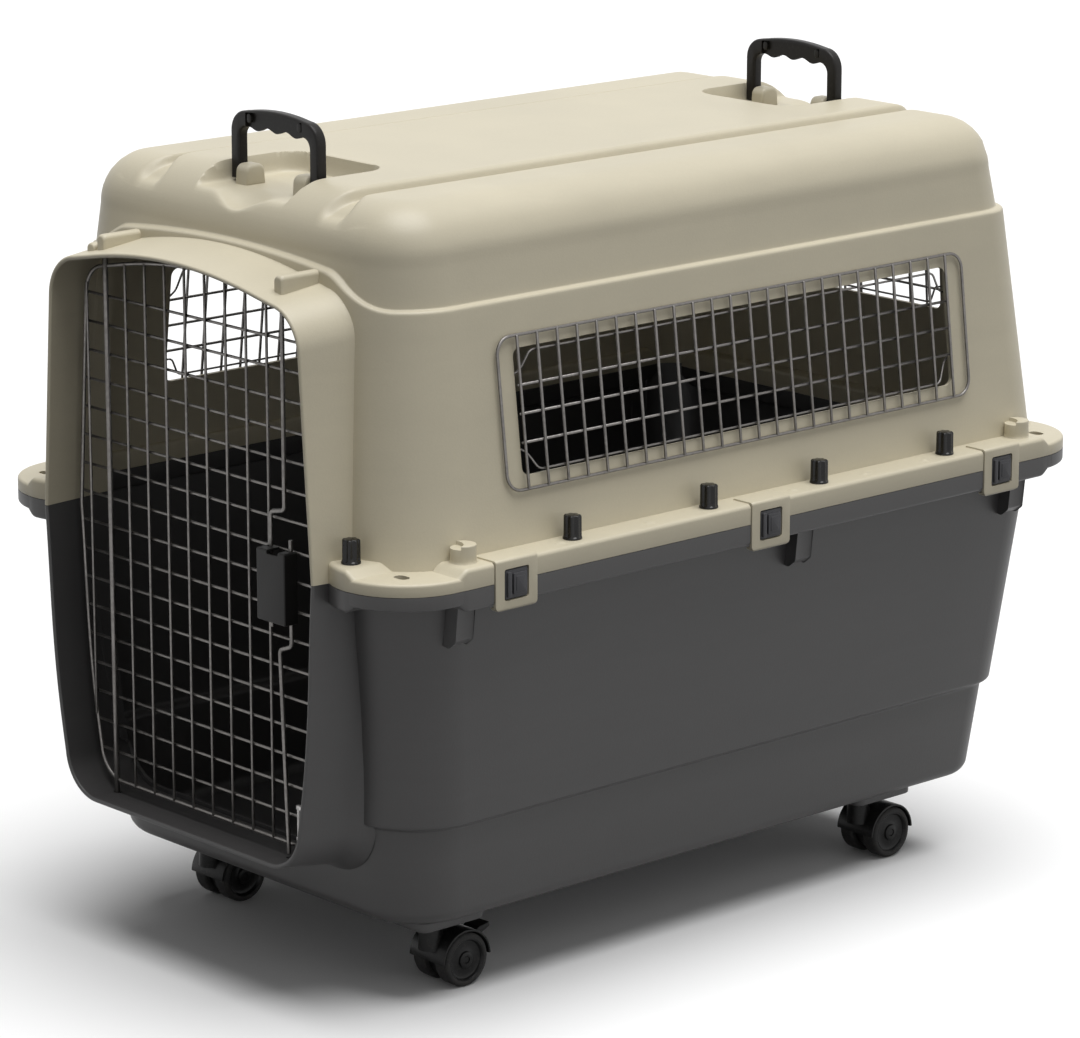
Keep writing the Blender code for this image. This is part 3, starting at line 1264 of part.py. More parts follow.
def caster_fork(name, x, swivel_y, plastic):
    """Make one castor's swivelling frame: hood over both wheels, web, neck and axle."""
    axle = (swivel_y + CASTER_TRAIL, WHEEL_RADIUS)
    half_web = WEB_THICKNESS / 2
    top_z = PAD_Z - FIT_GAP - PLATE_THICKNESS - FIT_GAP
    reach = half_web + WHEEL_SIDE_GAP + WHEEL_WIDTH
    outer = WHEEL_RADIUS + HOOD_GAP + HOOD_THICKNESS
    frame = prism(name, arc(axle, outer, HOOD_END, 180 - HOOD_END, HOOD_STEPS), x - reach, x + reach, "X")
    neck = prism("neck", disc((x, swivel_y), NECK_RADIUS, 10), WHEEL_RADIUS + HOOD_GAP, top_z)
    frame = fuse(frame, neck)
    for side in (-1, 1):
        xs = sorted((x + side * half_web, x + side * 2 * reach))
        frame = cut(frame, prism("space", disc(axle, WHEEL_RADIUS + HOOD_GAP, 20), xs[0], xs[1], "X"))
    web = prism("web", disc(axle, WHEEL_RADIUS * WEB_SHARE, 12), x - half_web + FIT_GAP,
                x + half_web - FIT_GAP, "X")
    axle_bar = prism("axle", disc(axle, AXLE_RADIUS, 8), x - reach + WHEEL_DISH / 2,
                     x + reach - WHEEL_DISH / 2, "X")
    bore = prism("bore", circle((x, swivel_y), KINGPIN_RADIUS + KINGPIN_CLEARANCE, 8),
                 top_z - KINGPIN_LENGTH - FIT_GAP, top_z + WALL)
    frame = cut(fuse(frame, web, axle_bar), bore)
    finish(frame, name, plastic)
    return move_origin(frame, (x, swivel_y, top_z))


def caster_plate(name, x, swivel_y, steel):
    """Make one castor's fixing plate with the kingpin that its frame turns on."""
    top = PAD_Z - FIT_GAP
    half = PLATE_SIZE / 2
    plate = prism(name, rounded_rectangle((x - half, swivel_y - half), (x + half, swivel_y + half),
                                          PLATE_RADIUS, 2), top - PLATE_THICKNESS, top)
    pin = prism("kingpin", disc((x, swivel_y), KINGPIN_RADIUS, 8),
                top - PLATE_THICKNESS - KINGPIN_LENGTH, top - PLATE_THICKNESS / 2)
    return finish(fuse(plate, pin), name, steel)


def brake_lever(name, x, swivel_y, plastic):
    """Make the foot lever that rocks on the back of a front castor's hood."""
    thick = BRAKE_THICKNESS
    reach = WHEEL_RADIUS + HOOD_GAP + HOOD_THICKNESS + FIT_GAP + thick
    angle = math.radians(BRAKE_ANGLE)
    out = Vector((math.cos(angle), math.sin(angle)))
    along = Vector((-out.y, out.x))
    hinge = Vector((swivel_y + CASTER_TRAIL, WHEEL_RADIUS)) + out * reach
    tip = hinge + Vector((BRAKE_REACH, BRAKE_LIFT))
    up = Vector((0.0, thick / 2))
    outline = [hinge - out * thick * 4 / 5 - along * thick, hinge - along * thick + out * thick / 2,
               tip - up, tip + up, hinge + along * thick / 2 + out * thick,
               hinge - out * thick * 4 / 5 + along * thick * 4 / 5]
    lever = prism(name, [tuple(point) for point in outline], x - BRAKE_WIDTH / 2, x + BRAKE_WIDTH / 2, "X")
    finish(lever, name, plastic)
    return move_origin(lever, (x, hinge.x, hinge.y))


def casters(steel, plastic, rubber):
    """Make the four castors, with foot brakes on the front pair."""
    for word, x, y in caster_places():
        caster_plate(f"caster_plate_{word}", x, y, steel)
        fork = caster_fork(f"caster_frame_{word}", x, y, plastic)
        parts = [wheel(f"wheel_{word}_{name}", x, y + CASTER_TRAIL, side, rubber)
                 for name, side in (("outer", math.copysign(1, x)), ("inner", -math.copysign(1, x)))]
        if word.startswith("front"):
            parts.append(brake_lever(f"brake_lever_{word}", x, y, plastic))
        for part in parts:
            keep_place(part, fork)


def keep_place(child, parent):
    """Parent a piece to another and leave it where it is."""
    child.parent = parent
    child.matrix_parent_inverse = parent.matrix_basis.inverted()


def rim_clips(plastic, dark):
    """Make the three clips on each side with their buttons."""
    for word, side in (("left", -1), ("right", 1)):
        for index, y in enumerate(CLIP_YS, start=1):
            clip = rim_clip(f"rim_clip_{word}_{index}", side, y, plastic)
            keep_place(clip_button(f"clip_button_{word}_{index}", side, y, dark), clip)


def build():
    """Build the whole crate."""
    clear_scene()
    beige = material("beige_plastic", (0.58, 0.54, 0.42), 0.55)
    grey = material("dark_grey_plastic", (0.065, 0.062, 0.062), 0.55)
    black = material("black_plastic", (0.015, 0.014, 0.013), 0.35)
    slate = material("slate_plastic", (0.05, 0.05, 0.055), 0.5)
    zinc = material("zinc_wire", (0.45, 0.44, 0.42), 0.35, 1.0)
    rubber = material("wheel_rubber", (0.02, 0.02, 0.02), 0.6)
    top_shell(beige)
    bottom_shell(grey)
    grille = door(zinc)
    latch_rods(zinc)
    for piece in (latch_box(slate), door_pins(zinc), bpy.data.objects["latch_rod_upper"],
                  bpy.data.objects["latch_rod_lower"]):
        keep_place(piece, grille)
    window_panel("window_panel_left", -1, zinc)
    window_panel("window_panel_right", 1, zinc)
    window_panel("window_panel_rear", 0, zinc)
    handle("handle_front", HANDLE_FRONT_Y, black)
    handle("handle_rear", HANDLE_REAR_Y, black)
    rim_clips(beige, slate)
    for name, x, y in knob_places():
        knob(name, x, y, black)
    casters(zinc, black, rubber)


build()
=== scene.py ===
"""Looks of a wheeled pet travel crate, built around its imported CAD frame.

Lengths are metres, +Z is up, the door faces -Y and the long window sides face -X and +X.
Every new piece is a surface worked out as whole arrays: a grid of two parameters, or a
profile carried along a path. Each class below is one sub-assembly and keeps its own sizes.
"""
from __future__ import annotations
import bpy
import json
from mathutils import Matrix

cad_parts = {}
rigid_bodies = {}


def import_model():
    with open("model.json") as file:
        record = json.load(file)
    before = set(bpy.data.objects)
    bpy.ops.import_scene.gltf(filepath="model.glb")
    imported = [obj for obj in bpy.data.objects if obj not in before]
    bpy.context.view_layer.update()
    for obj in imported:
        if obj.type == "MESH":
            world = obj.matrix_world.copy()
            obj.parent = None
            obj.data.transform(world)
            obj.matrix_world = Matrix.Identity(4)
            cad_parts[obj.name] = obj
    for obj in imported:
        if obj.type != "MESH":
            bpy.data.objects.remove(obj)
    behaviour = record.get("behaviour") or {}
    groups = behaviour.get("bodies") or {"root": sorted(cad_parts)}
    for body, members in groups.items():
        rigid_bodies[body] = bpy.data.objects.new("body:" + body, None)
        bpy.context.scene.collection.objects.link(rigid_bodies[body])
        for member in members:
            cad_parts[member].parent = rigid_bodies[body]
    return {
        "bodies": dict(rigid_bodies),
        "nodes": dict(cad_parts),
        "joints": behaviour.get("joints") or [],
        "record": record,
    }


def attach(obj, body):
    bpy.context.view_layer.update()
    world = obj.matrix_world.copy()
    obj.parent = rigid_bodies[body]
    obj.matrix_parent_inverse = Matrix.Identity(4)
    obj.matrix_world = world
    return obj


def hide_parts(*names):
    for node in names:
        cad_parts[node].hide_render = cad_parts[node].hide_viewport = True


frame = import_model()

import json
import logging
import math
from dataclasses import dataclass, field
from enum import Enum
from typing import Iterable, Sequence

import bmesh
import bpy
import numpy as np
from mathutils import Matrix, Vector

log = logging.getLogger("crate")
Array = np.ndarray
Object = bpy.types.Object


class Side(Enum):
    """The two long sides of the crate, with the sign of their X."""

    LEFT = -1
    RIGHT = 1

    @property
    def word(self) -> str:
        """Return the side's name in lower case."""
        return self.name.lower()


class Axis(Enum):
    """The axis along which a flat outline is extruded."""

    X = 0
    Y = 1
    Z = 2


@dataclass(frozen=True)
class Crate:
    """Main sizes that several sub-assemblies share; they are those of the CAD part."""

    rim_z: float = 0.425
    gap: float = 0.0003
    wall: float = 0.0035
    floor: float = 0.004
    body_half: float = 0.274
    body_front: float = -0.420
    body_rear: float = 0.434
    front_corner: float = 0.072
    rear_corner: float = 0.050
    side_draft: float = 0.1206
    end_draft: float = 0.074
    tub_draft: float = 0.105
    ledge_z: float = 0.665
    tub_z: float = 0.083
    mouth_y: float = -0.4615
    flange_half: float = 0.304
    door_y: float = -0.4285
    wire: float = 0.0028

    def plan(self, z: Array) -> tuple[Array, Array, Array]:
        """Return the half width, front and rear of the drafted walls.

        Args:
            z: Heights of the points.

        Returns:
            Half width, front and rear coordinate at each height.
        """
        rise = np.asarray(z, float) - self.rim_z
        side = np.where(rise > 0, self.side_draft * rise, -self.tub_draft * rise)
        end = np.where(rise > 0, self.end_draft * rise, -self.tub_draft * rise)
        return self.body_half - side, self.body_front + end, self.body_rear - end


CRATE = Crate()


# Curves and outlines


def smooth_step(low: float, high: float, value: Array) -> Array:
    """Return 0 below low, 1 above high and a cubic S-curve between them."""
    share = np.clip((np.asarray(value, float) - low) / (high - low), 0.0, 1.0)
    return share * share * (3.0 - 2.0 * share)


def smooth_min(first: Array, second: Array, blend: float) -> Array:
    """Return the lower of two heights, with a round blend where they are close.

    The blend subtracts a quarter of the squared overlap: min(a, b) - h*h*k/4.
    """
    overlap = np.clip(blend - np.abs(first - second), 0.0, None) / blend
    return np.minimum(first, second) - overlap**2 * blend / 4.0


def runs(start: float, *legs: tuple[float, int]) -> Array:
    """Return levels that run through several legs, each with its own number of steps.

    Args:
        start: The first level.
        legs: Pairs of the level where a leg ends and the number of steps to it.

    Returns:
        All levels in order.
    """
    levels = [np.array([start])]
    for end, steps in legs:
        levels.append(np.linspace(levels[-1][-1], end, steps + 1)[1:])
    return np.concatenate(levels)


def arc(centre: Sequence[float], radius: float, start: float, end: float, steps: int) -> Array:
    """Return points of a circular arc between two angles in degrees, both ends included."""
    angle = np.radians(np.linspace(start, end, steps + 1))
    return np.stack([centre[0] + radius * np.cos(angle), centre[1] + radius * np.sin(angle)], -1)


def round_rect(half_x: float, half_y: float, radius: float, steps: int = 6) -> Array:
    """Return a rounded rectangle about the origin, anticlockwise from its right side."""
    x, y = half_x - radius, half_y - radius
    return np.concatenate([
        arc((x, y), radius, 0, 90, steps), arc((-x, y), radius, 90, 180, steps),
        arc((-x, -y), radius, 180, 270, steps), arc((x, -y), radius, 270, 360, steps)])


def fillet(points: Sequence[Sequence[float]], radii: Sequence[float], steps: int = 4) -> Array:
    """Round the corners of a closed flat polygon.

    Each corner becomes the arc of a circle that touches both of its edges.

    Args:
        points: Corners, anticlockwise.
        radii: One radius for each corner; zero leaves it sharp.
        steps: Steps of each arc.

    Returns:
        The points of the rounded outline.
    """
    corners = np.asarray(points, float)
    rounded = []
    for index, radius in enumerate(radii):
        here = corners[index]
        if radius <= 0.0:
            rounded.append(here[None])
            continue
        before = corners[index - 1] - here
        after = corners[(index + 1) % len(corners)] - here
        before, after = before / np.linalg.norm(before), after / np.linalg.norm(after)
        half = math.acos(float(np.clip(before @ after, -1.0, 1.0))) / 2.0
        middle = (before + after) / np.linalg.norm(before + after)
        centre = here + middle * radius / math.sin(half)
        first = here + before * radius / math.tan(half) - centre
        last = here + after * radius / math.tan(half) - centre
        start = math.atan2(first[1], first[0])
        sweep = (math.atan2(last[1], last[0]) - start + math.pi) % (2 * math.pi) - math.pi
        angle = start + sweep * np.linspace(0.0, 1.0, steps + 1)
        rounded.append(centre + radius * np.stack([np.cos(angle), np.sin(angle)], -1))
    return np.concatenate(rounded)


def shifted(outline: Array, distance: float, closed: bool = True) -> Array:
    """Move an anticlockwise outline inwards along its corner normals.

    Args:
        outline: Points of the outline, in two dimensions.
        distance: Distance inwards; a negative one moves it outwards.
        closed: Whether the last point joins the first.

    Returns:
        The moved points.
    """
    after = np.roll(outline, -1, 0) - outline
    if not closed:
        after[-1] = after[-2]
    after /= np.maximum(np.linalg.norm(after, axis=1, keepdims=True), 1e-12)
    before = np.roll(after, 1, 0)
    if not closed:
        before[0] = after[0]
    along = before + after
    along /= np.linalg.norm(along, axis=1, keepdims=True)
    inward = np.stack([-along[:, 1], along[:, 0]], -1)
    scale = np.maximum(np.sum(along * after, axis=1, keepdims=True), 0.5)
    return outline + inward * distance / scale


def plan_loop(turn: Array, half: Array, front: Array, rear: Array, front_corner: Array,
              rear_corner: Array) -> tuple[Array, Array]:
    """Return points of a rounded rectangle in plan, from a position along its outline.

    The position runs from 0 to 8: 0 to 1 is the front edge from left to right, 1 to 2 its
    right corner, and so on anticlockwise. Odd parts are quarter circles.

    Args:
        turn: Positions along the outline.
        half: Half width.
        front: Y of the front edge.
        rear: Y of the rear edge.
        front_corner: Radius of the two front corners.
        rear_corner: Radius of the two rear corners.

    Returns:
        The X and Y coordinates.
    """
    turn = np.mod(turn, 8.0)
    part = np.floor(turn).astype(int)
    share = turn - part
    sin, cos = np.sin(share * math.pi / 2), np.cos(share * math.pi / 2)
    front_x, rear_x = half - front_corner, half - rear_corner
    front_y, rear_y = front + front_corner, rear - rear_corner
    xs = [front_x * (2 * share - 1), front_x + front_corner * sin, half + 0 * share,
          rear_x + rear_corner * cos, rear_x * (1 - 2 * share), -rear_x - rear_corner * sin,
          -half + 0 * share, -front_x - front_corner * cos]
    ys = [front + 0 * share, front_y - front_corner * cos, front_y + (rear_y - front_y) * share,
          rear_y + rear_corner * sin, rear + 0 * share, rear_y + rear_corner * cos,
          rear_y + (front_y - rear_y) * share, front_y - front_corner * sin]
    picks = [part == k for k in range(8)]
    shape = np.broadcast(turn, half, front).shape
    xs = [np.broadcast_to(x, shape) for x in xs]
    ys = [np.broadcast_to(y, shape) for y in ys]
    picks = [np.broadcast_to(pick, shape) for pick in picks]
    return np.select(picks, xs), np.select(picks, ys)


def even_turns(edge_steps: int, corner_steps: int) -> Array:
    """Return positions along a plan outline with even steps in each edge and corner."""
    parts = [k + np.arange(n) / n for k, n in enumerate([edge_steps, corner_steps] * 4)]
    return np.concatenate(parts)


# Meshes


class Surface:
    """Grids and caps of one piece, gathered before they become a mesh."""

    def __init__(self) -> None:
        """Start with no points and no faces."""
        self._points: list[Array] = []
        self._faces: list[list[int]] = []
        self._count = 0

    def add(self, points: Array) -> Array:
        """Add points of any grid shape and return their numbers in that shape."""
        flat = np.asarray(points, float).reshape(-1, 3)
        numbers = np.arange(self._count, self._count + len(flat)).reshape(points.shape[:-1])
        self._points.append(flat)
        self._count += len(flat)
        return numbers

    def skin(self, numbers: Array, wrap_rows: bool = False, wrap_columns: bool = False) -> None:
        """Join neighbours of a grid of point numbers with quads.

        Args:
            numbers: Point numbers, by row and column.
            wrap_rows: Whether the last row joins the first.
            wrap_columns: Whether the last column joins the first.
        """
        if wrap_rows:
            numbers = np.concatenate([numbers, numbers[:1]])
        if wrap_columns:
            numbers = np.concatenate([numbers, numbers[:, :1]], 1)
        quads = np.stack([numbers[:-1, :-1], numbers[:-1, 1:], numbers[1:, 1:],
                          numbers[1:, :-1]], -1)
        self._faces.extend(quads.reshape(-1, 4).tolist())

    def grid(self, points: Array, wrap_rows: bool = False, wrap_columns: bool = False) -> Array:
        """Add a grid of points with its quads and return the point numbers."""
        numbers = self.add(points)
        self.skin(numbers, wrap_rows, wrap_columns)
        return numbers

    def cap(self, loop: Array) -> None:
        """Close a loop of point numbers with one flat face."""
        self._faces.append(np.asarray(loop).tolist())

    def stack(self, rings: Array) -> None:
        """Add closed rings as one solid, with a flat cap at each end."""
        numbers = self.grid(rings, wrap_columns=True)
        self.cap(numbers[0])
        self.cap(numbers[-1])

    def ring_solid(self, rings: Array) -> None:
        """Add closed rings as one ring-shaped solid, whose last ring joins the first."""
        self.grid(rings, wrap_rows=True, wrap_columns=True)

    def build(self, name: str, sharp: float = 40.0) -> Object:
        """Make the object, with outward faces and smooth shading up to an angle.

        Args:
            name: The piece's name.
            sharp: Angle in degrees above which an edge stays sharp.

        Returns:
            The new object, at the origin.
        """
        mesh = bpy.data.meshes.new(name)
        mesh.from_pydata(np.concatenate(self._points).tolist(), [], self._faces)
        outward(mesh)
        piece = bpy.data.objects.new(name, mesh)
        bpy.context.scene.collection.objects.link(piece)
        return shade(piece, sharp)


def outward(mesh: bpy.types.Mesh) -> None:
    """Turn every closed part of a mesh so that its faces point outwards."""
    shape = bmesh.new()
    shape.from_mesh(mesh)
    bmesh.ops.recalc_face_normals(shape, faces=shape.faces)
    shape.to_mesh(mesh)
    shape.free()


def shade(piece: Object, sharp: float) -> Object:
    """Shade a piece smoothly, with edges above an angle in degrees kept sharp."""
    piece.data.shade_smooth()
    piece.data.set_sharp_from_angle(angle=math.radians(sharp))
    return piece


def settle(piece: Object) -> Object:
    """Replace a piece's mesh by what its modifiers make of it."""
    shapes = bpy.context.evaluated_depsgraph_get()
    mesh = bpy.data.meshes.new_from_object(piece.evaluated_get(shapes))
    piece.modifiers.clear()
    mesh.name = piece.name
    piece.data = mesh
    return piece


def combine(piece: Object, tools: Sequence[Object], sharp: float = 40.0) -> Object:
    """Cut tools out of a piece and remove the tools.

    Args:
        piece: The piece that stays.
        tools: Solids that are used up.
        sharp: Angle in degrees above which an edge of the result stays sharp.

    Returns:
        The changed piece.
    """
    for tool in tools:
        change = piece.modifiers.new("cut", "BOOLEAN")
        change.operation = "DIFFERENCE"
        change.solver = "EXACT"
        change.object = tool
    settle(piece)
    for tool in tools:
        bpy.data.objects.remove(tool, do_unlink=True)
    return shade(piece, sharp)


def soften(piece: Object, width: float, segments: int = 3, angle: float = 40.0) -> Object:
    """Round the sharp edges of a simple solid by a small radius."""
    edge = piece.modifiers.new("round_edges", "BEVEL")
    edge.width = width
    edge.segments = segments
    edge.limit_method = "ANGLE"
    edge.angle_limit = math.radians(angle)
    edge.harden_normals = False
    settle(piece)
    return shade(piece, 50.0)


def lay(flat: Array, level: Array | float, axis: Axis) -> Array:
    """Place flat points at a level of one axis.

    The two flat coordinates go to the other two axes in the order X, Y, Z.
    """
    level = np.broadcast_to(level, flat.shape[:-1])
    first, second = flat[..., 0], flat[..., 1]
    order = {Axis.X: (level, first, second), Axis.Y: (first, level, second),
             Axis.Z: (first, second, level)}[axis]
    return np.stack(order, -1)


def slab_rings(outline: Array, low: float, high: float, axis: Axis, edge: float,
               steps: int = 3, low_edge: float | None = None) -> Array:
    """Return rings of a flat slab whose two rims are rounded by quarter circles.

    At angle a of a rim the outline is moved inwards by edge * (1 - cos a), and the level is
    edge * (1 - sin a) from the face.

    Args:
        outline: Flat outline, anticlockwise.
        low: Level of the lower face.
        high: Level of the upper face.
        axis: The axis of the levels.
        edge: Radius of the upper rim.
        steps: Steps of each rim.
        low_edge: Radius of the lower rim, if it isn't the same.

    Returns:
        Rings, by level and outline point.
    """
    angle = np.radians(np.linspace(0.0, 90.0, steps + 1))
    under = edge if low_edge is None else low_edge
    if edge <= 0.0:
        return np.stack([lay(outline, level, axis) for level in (low, high)])
    round_in, round_up = 1 - np.cos(angle), 1 - np.sin(angle)
    below = [lay(shifted(outline, under * i), low + under * d, axis)
             for i, d in zip(round_in[::-1], round_up[::-1])]
    above = [lay(shifted(outline, edge * i), high - edge * d, axis)
             for i, d in zip(round_in, round_up)]
    return np.stack(below + above)


def slab(name: str, outline: Array, low: float, high: float, axis: Axis = Axis.Z,
         edge: float = 0.0) -> Object:
    """Make a solid slab from a flat outline, with rounded rims."""
    made = Surface()
    made.stack(slab_rings(outline, low, high, axis, edge))
    return made.build(name, 40.0)


def tube_rings(path: Array, radius: float, normal: Sequence[float], sides: int = 10,
               closed: bool = False) -> Array:
    """Return the rings of a round wire along a path that lies in one plane.

    Each ring is the point plus radius * (cos a * side + sin a * normal), where side is the
    tangent crossed with the plane's normal. At a bend the side is stretched to a mitre.

    Args:
        path: Centreline points.
        radius: Radius of the wire.
        normal: Unit normal of the path's plane.
        sides: Number of faces round the wire.
        closed: Whether the path is a closed loop.

    Returns:
        Rings, by path point and side.
    """
    after = np.roll(path, -1, 0) - path
    if not closed:
        after[-1] = after[-2]
    after /= np.linalg.norm(after, axis=1, keepdims=True)
    before = np.roll(after, 1, 0)
    if not closed:
        before[0] = after[0]
    along = before + after
    along /= np.linalg.norm(along, axis=1, keepdims=True)
    plane = np.asarray(normal, float)
    side = np.cross(along, plane)
    side /= np.maximum(np.sum(along * after, axis=1, keepdims=True), 0.5)
    angle = 2 * math.pi * np.arange(sides) / sides
    ring = (np.cos(angle)[None, :, None] * side[:, None]
            + np.sin(angle)[None, :, None] * plane[None, None])
    return path[:, None] + radius * ring


def bend(points: Sequence[Sequence[float]], radius: float, steps: int = 5) -> Array:
    """Return an open wire path in space whose corners are bent to a radius.

    The corner is a quadratic curve between the points at that distance from it.
    """
    corners = np.asarray(points, float)
    path = [corners[:1]]
    share = np.linspace(0.0, 1.0, steps + 1)[:, None]
    for before, here, after in zip(corners, corners[1:], corners[2:]):
        first = here + (before - here) / np.linalg.norm(before - here) * radius
        last = here + (after - here) / np.linalg.norm(after - here) * radius
        path.append((1 - share)**2 * first + 2 * share * (1 - share) * here + share**2 * last)
    return np.concatenate(path + [corners[-1:]])


def revolve_rings(profile: Array, centre: Sequence[float], axis: Axis, sides: int) -> Array:
    """Return rings of a turned shape: each profile point is a level and a distance.

    Args:
        profile: Pairs of the level along the axis and the distance from it.
        centre: A point on the axis; levels are measured from it.
        axis: The turning axis.
        sides: Number of faces round the axis.

    Returns:
        Rings, by profile point and side.
    """
    angle = 2 * math.pi * np.arange(sides) / sides
    flat = np.stack([profile[:, 1:2] * np.cos(angle), profile[:, 1:2] * np.sin(angle)], -1)
    return lay(flat, profile[:, 0:1], axis) + np.asarray(centre, float)


# Finishes


class Signal:
    """A socket that takes part in arithmetic, each step of which adds a Math node."""

    def __init__(self, graph: Graph, socket: bpy.types.NodeSocket) -> None:
        """Wrap an output socket of a graph."""
        self.graph = graph
        self.socket = socket

    def _math(self, operation: str, first: Signal | float, second: Signal | float) -> Signal:
        """Add one Math node."""
        return self.graph.node("ShaderNodeMath", {"operation": operation},
                               {0: first, 1: second})

    def __add__(self, other: Signal | float) -> Signal:
        """Return self + other."""
        return self._math("ADD", self, other)

    def __sub__(self, other: Signal | float) -> Signal:
        """Return self - other."""
        return self._math("SUBTRACT", self, other)

    def __mul__(self, other: Signal | float) -> Signal:
        """Return self * other."""
        return self._math("MULTIPLY", self, other)

    def __rsub__(self, other: float) -> Signal:
        """Return other - self."""
        return self._math("SUBTRACT", other, self)

    __radd__ = __add__
    __rmul__ = __mul__

    def ramp(self, low: float, high: float) -> Signal:
        """Return a smooth step from 0 at low to 1 at high."""
        return self.graph.node("ShaderNodeMapRange", {"interpolation_type": "SMOOTHSTEP"},
                               {"Value": self, "From Min": low, "From Max": high})


class Graph:
    """The node tree of one material."""

    def __init__(self, name: str) -> None:
        """Make an empty material with a Principled shader on its output."""
        self.material = bpy.data.materials.new(name)
        self.material.use_nodes = True
        self.tree = self.material.node_tree
        self.tree.nodes.clear()
        output = self.tree.nodes.new("ShaderNodeOutputMaterial")
        self.shader = self.tree.nodes.new("ShaderNodeBsdfPrincipled")
        self.tree.links.new(self.shader.outputs["BSDF"], output.inputs["Surface"])
        self.place = self.node("ShaderNodeTexCoord", output="Object")

    def node(self, kind: str, settings: dict[str, object] | None = None,
             inputs: dict[str | int, object] | None = None, output: str | int = 0) -> Signal:
        """Add one node.

        Args:
            kind: Blender's name of the node type.
            settings: Properties, set before the sockets are looked up.
            inputs: Values or signals, by socket identifier, name or number.
            output: Identifier, name or number of the output to return.

        Returns:
            The chosen output.
        """
        made = self.tree.nodes.new(kind)
        for key, value in (settings or {}).items():
            setattr(made, key, value)
        for key, value in (inputs or {}).items():
            self.feed(self.find(made.inputs, key), value)
        return Signal(self, self.find(made.outputs, output))

    @staticmethod
    def find(sockets: bpy.types.bpy_prop_collection, key: str | int) -> bpy.types.NodeSocket:
        """Return a socket by number, identifier or name."""
        if isinstance(key, int):
            return sockets[key]
        exact = [s for s in sockets if s.identifier == key]
        return (exact or [s for s in sockets if s.name == key])[0]

    def feed(self, socket: bpy.types.NodeSocket, value: object) -> None:
        """Link a signal to a socket, or set its constant."""
        if isinstance(value, Signal):
            self.tree.links.new(value.socket, socket)
        else:
            socket.default_value = value

    def set(self, **values: object) -> None:
        """Feed sockets of the shader; underscores in the names stand for spaces."""
        for key, value in values.items():
            self.feed(self.shader.inputs[key.replace("_", " ")], value)

    def stretched(self, scale: Sequence[float]) -> Signal:
        """Return the object coordinates scaled by three factors."""
        return self.node("ShaderNodeVectorMath", {"operation": "MULTIPLY"},
                         {0: self.place, 1: tuple(scale)})

    def noise(self, scale: float, detail: float = 3.0, rough: float = 0.55,
              stretch: Sequence[float] | None = None, twist: float = 0.0) -> Signal:
        """Return fractal noise from 0 to 1, with a scale in cells for each metre."""
        where = self.stretched(stretch) if stretch else self.place
        return self.node("ShaderNodeTexNoise", None,
                         {"Vector": where, "Scale": scale, "Detail": detail, "Roughness": rough,
                          "Distortion": twist})

    def cells(self, scale: float) -> Signal:
        """Return the distance to the nearest of scattered points, for pores and grains."""
        return self.node("ShaderNodeTexVoronoi", {"feature": "F1"},
                         {"Vector": self.place, "Scale": scale}, "Distance")

    def mix(self, factor: Signal | float, first: object, second: object) -> Signal:
        """Blend two colours."""
        return self.node("ShaderNodeMix", {"data_type": "RGBA"},
                         {"Factor_Float": factor, "A_Color": first, "B_Color": second},
                         "Result_Color")

    def bump(self, height: Signal, depth: float, strength: float = 1.0) -> Signal:
        """Return a normal bent by a height of 0 to 1 that stands for a depth in metres."""
        return self.node("ShaderNodeBump", None,
                         {"Height": height, "Distance": depth, "Strength": strength})


Color = tuple[float, float, float]


def shade_of(color: Color, factor: float) -> tuple[float, float, float, float]:
    """Return a linear colour multiplied by a factor, with full alpha."""
    return (color[0] * factor, color[1] * factor, color[2] * factor, 1.0)


@dataclass(frozen=True)
class Finish:
    """What every finish has: the record's slot and the base colour.

    Attributes:
        slot: Material slot of the record.
        color: Linear base colour.
    """

    slot: str
    color: Color

    def graph(self) -> Graph:
        """Start the material of this finish."""
        return Graph(self.slot)

    def make(self) -> bpy.types.Material:
        """Build the material."""
        raise NotImplementedError


@dataclass(frozen=True)
class Moulded(Finish):
    """Grained injection-moulded plastic with cloudy tint, flow marks and faint scuffs.

    Attributes:
        gloss: Roughness of the untouched face.
        grain: Height of the moulded grain in metres.
        ripple: Height of the long waves of the face in metres.
        grain_scale: Grains for each metre.
        cloud: Share by which the tint varies over a hand's breadth.
        scuff: Share by which scuffs lighten the face.
        shine: Specular level of the shader.
    """

    gloss: float = 0.48
    grain: float = 0.00010
    ripple: float = 0.0006
    grain_scale: float = 520.0
    cloud: float = 0.05
    scuff: float = 0.05
    shine: float = 0.5

    def make(self) -> bpy.types.Material:
        """Build the material."""
        g = self.graph()
        clouds = g.noise(5.0, 4.0)
        flow = g.noise(9.0, 3.0, 0.5, (1.0, 1.0, 5.0), 0.6)
        speck = g.noise(self.grain_scale * 0.6, 2.0, 0.7)
        tint = clouds * 0.6 + flow * 0.25 + speck * 0.15
        color = g.mix(tint.ramp(0.3, 0.7), shade_of(self.color, 1.0 - self.cloud),
                      shade_of(self.color, 1.0 + self.cloud))
        scuffs = g.noise(38.0, 5.0, 0.7, (1.0, 2.6, 0.7), 1.2)
        worn = scuffs.ramp(0.62, 0.78)
        color = g.mix(worn * self.scuff, color, shade_of(self.color, 1.35))
        pores = g.cells(self.grain_scale)
        fine = g.noise(self.grain_scale * 1.3, 2.0, 0.6)
        height = clouds * 0.4 + (pores * 0.7 + fine * 0.3) * (self.grain / self.ripple)
        g.set(Base_Color=color, Metallic=0.0, IOR=1.49, Specular_IOR_Level=self.shine,
              Roughness=self.gloss + clouds * 0.08 + worn * 0.08 + pores * 0.04 - 0.06,
              Normal=g.bump(height, self.ripple, 0.6))
        return g.material


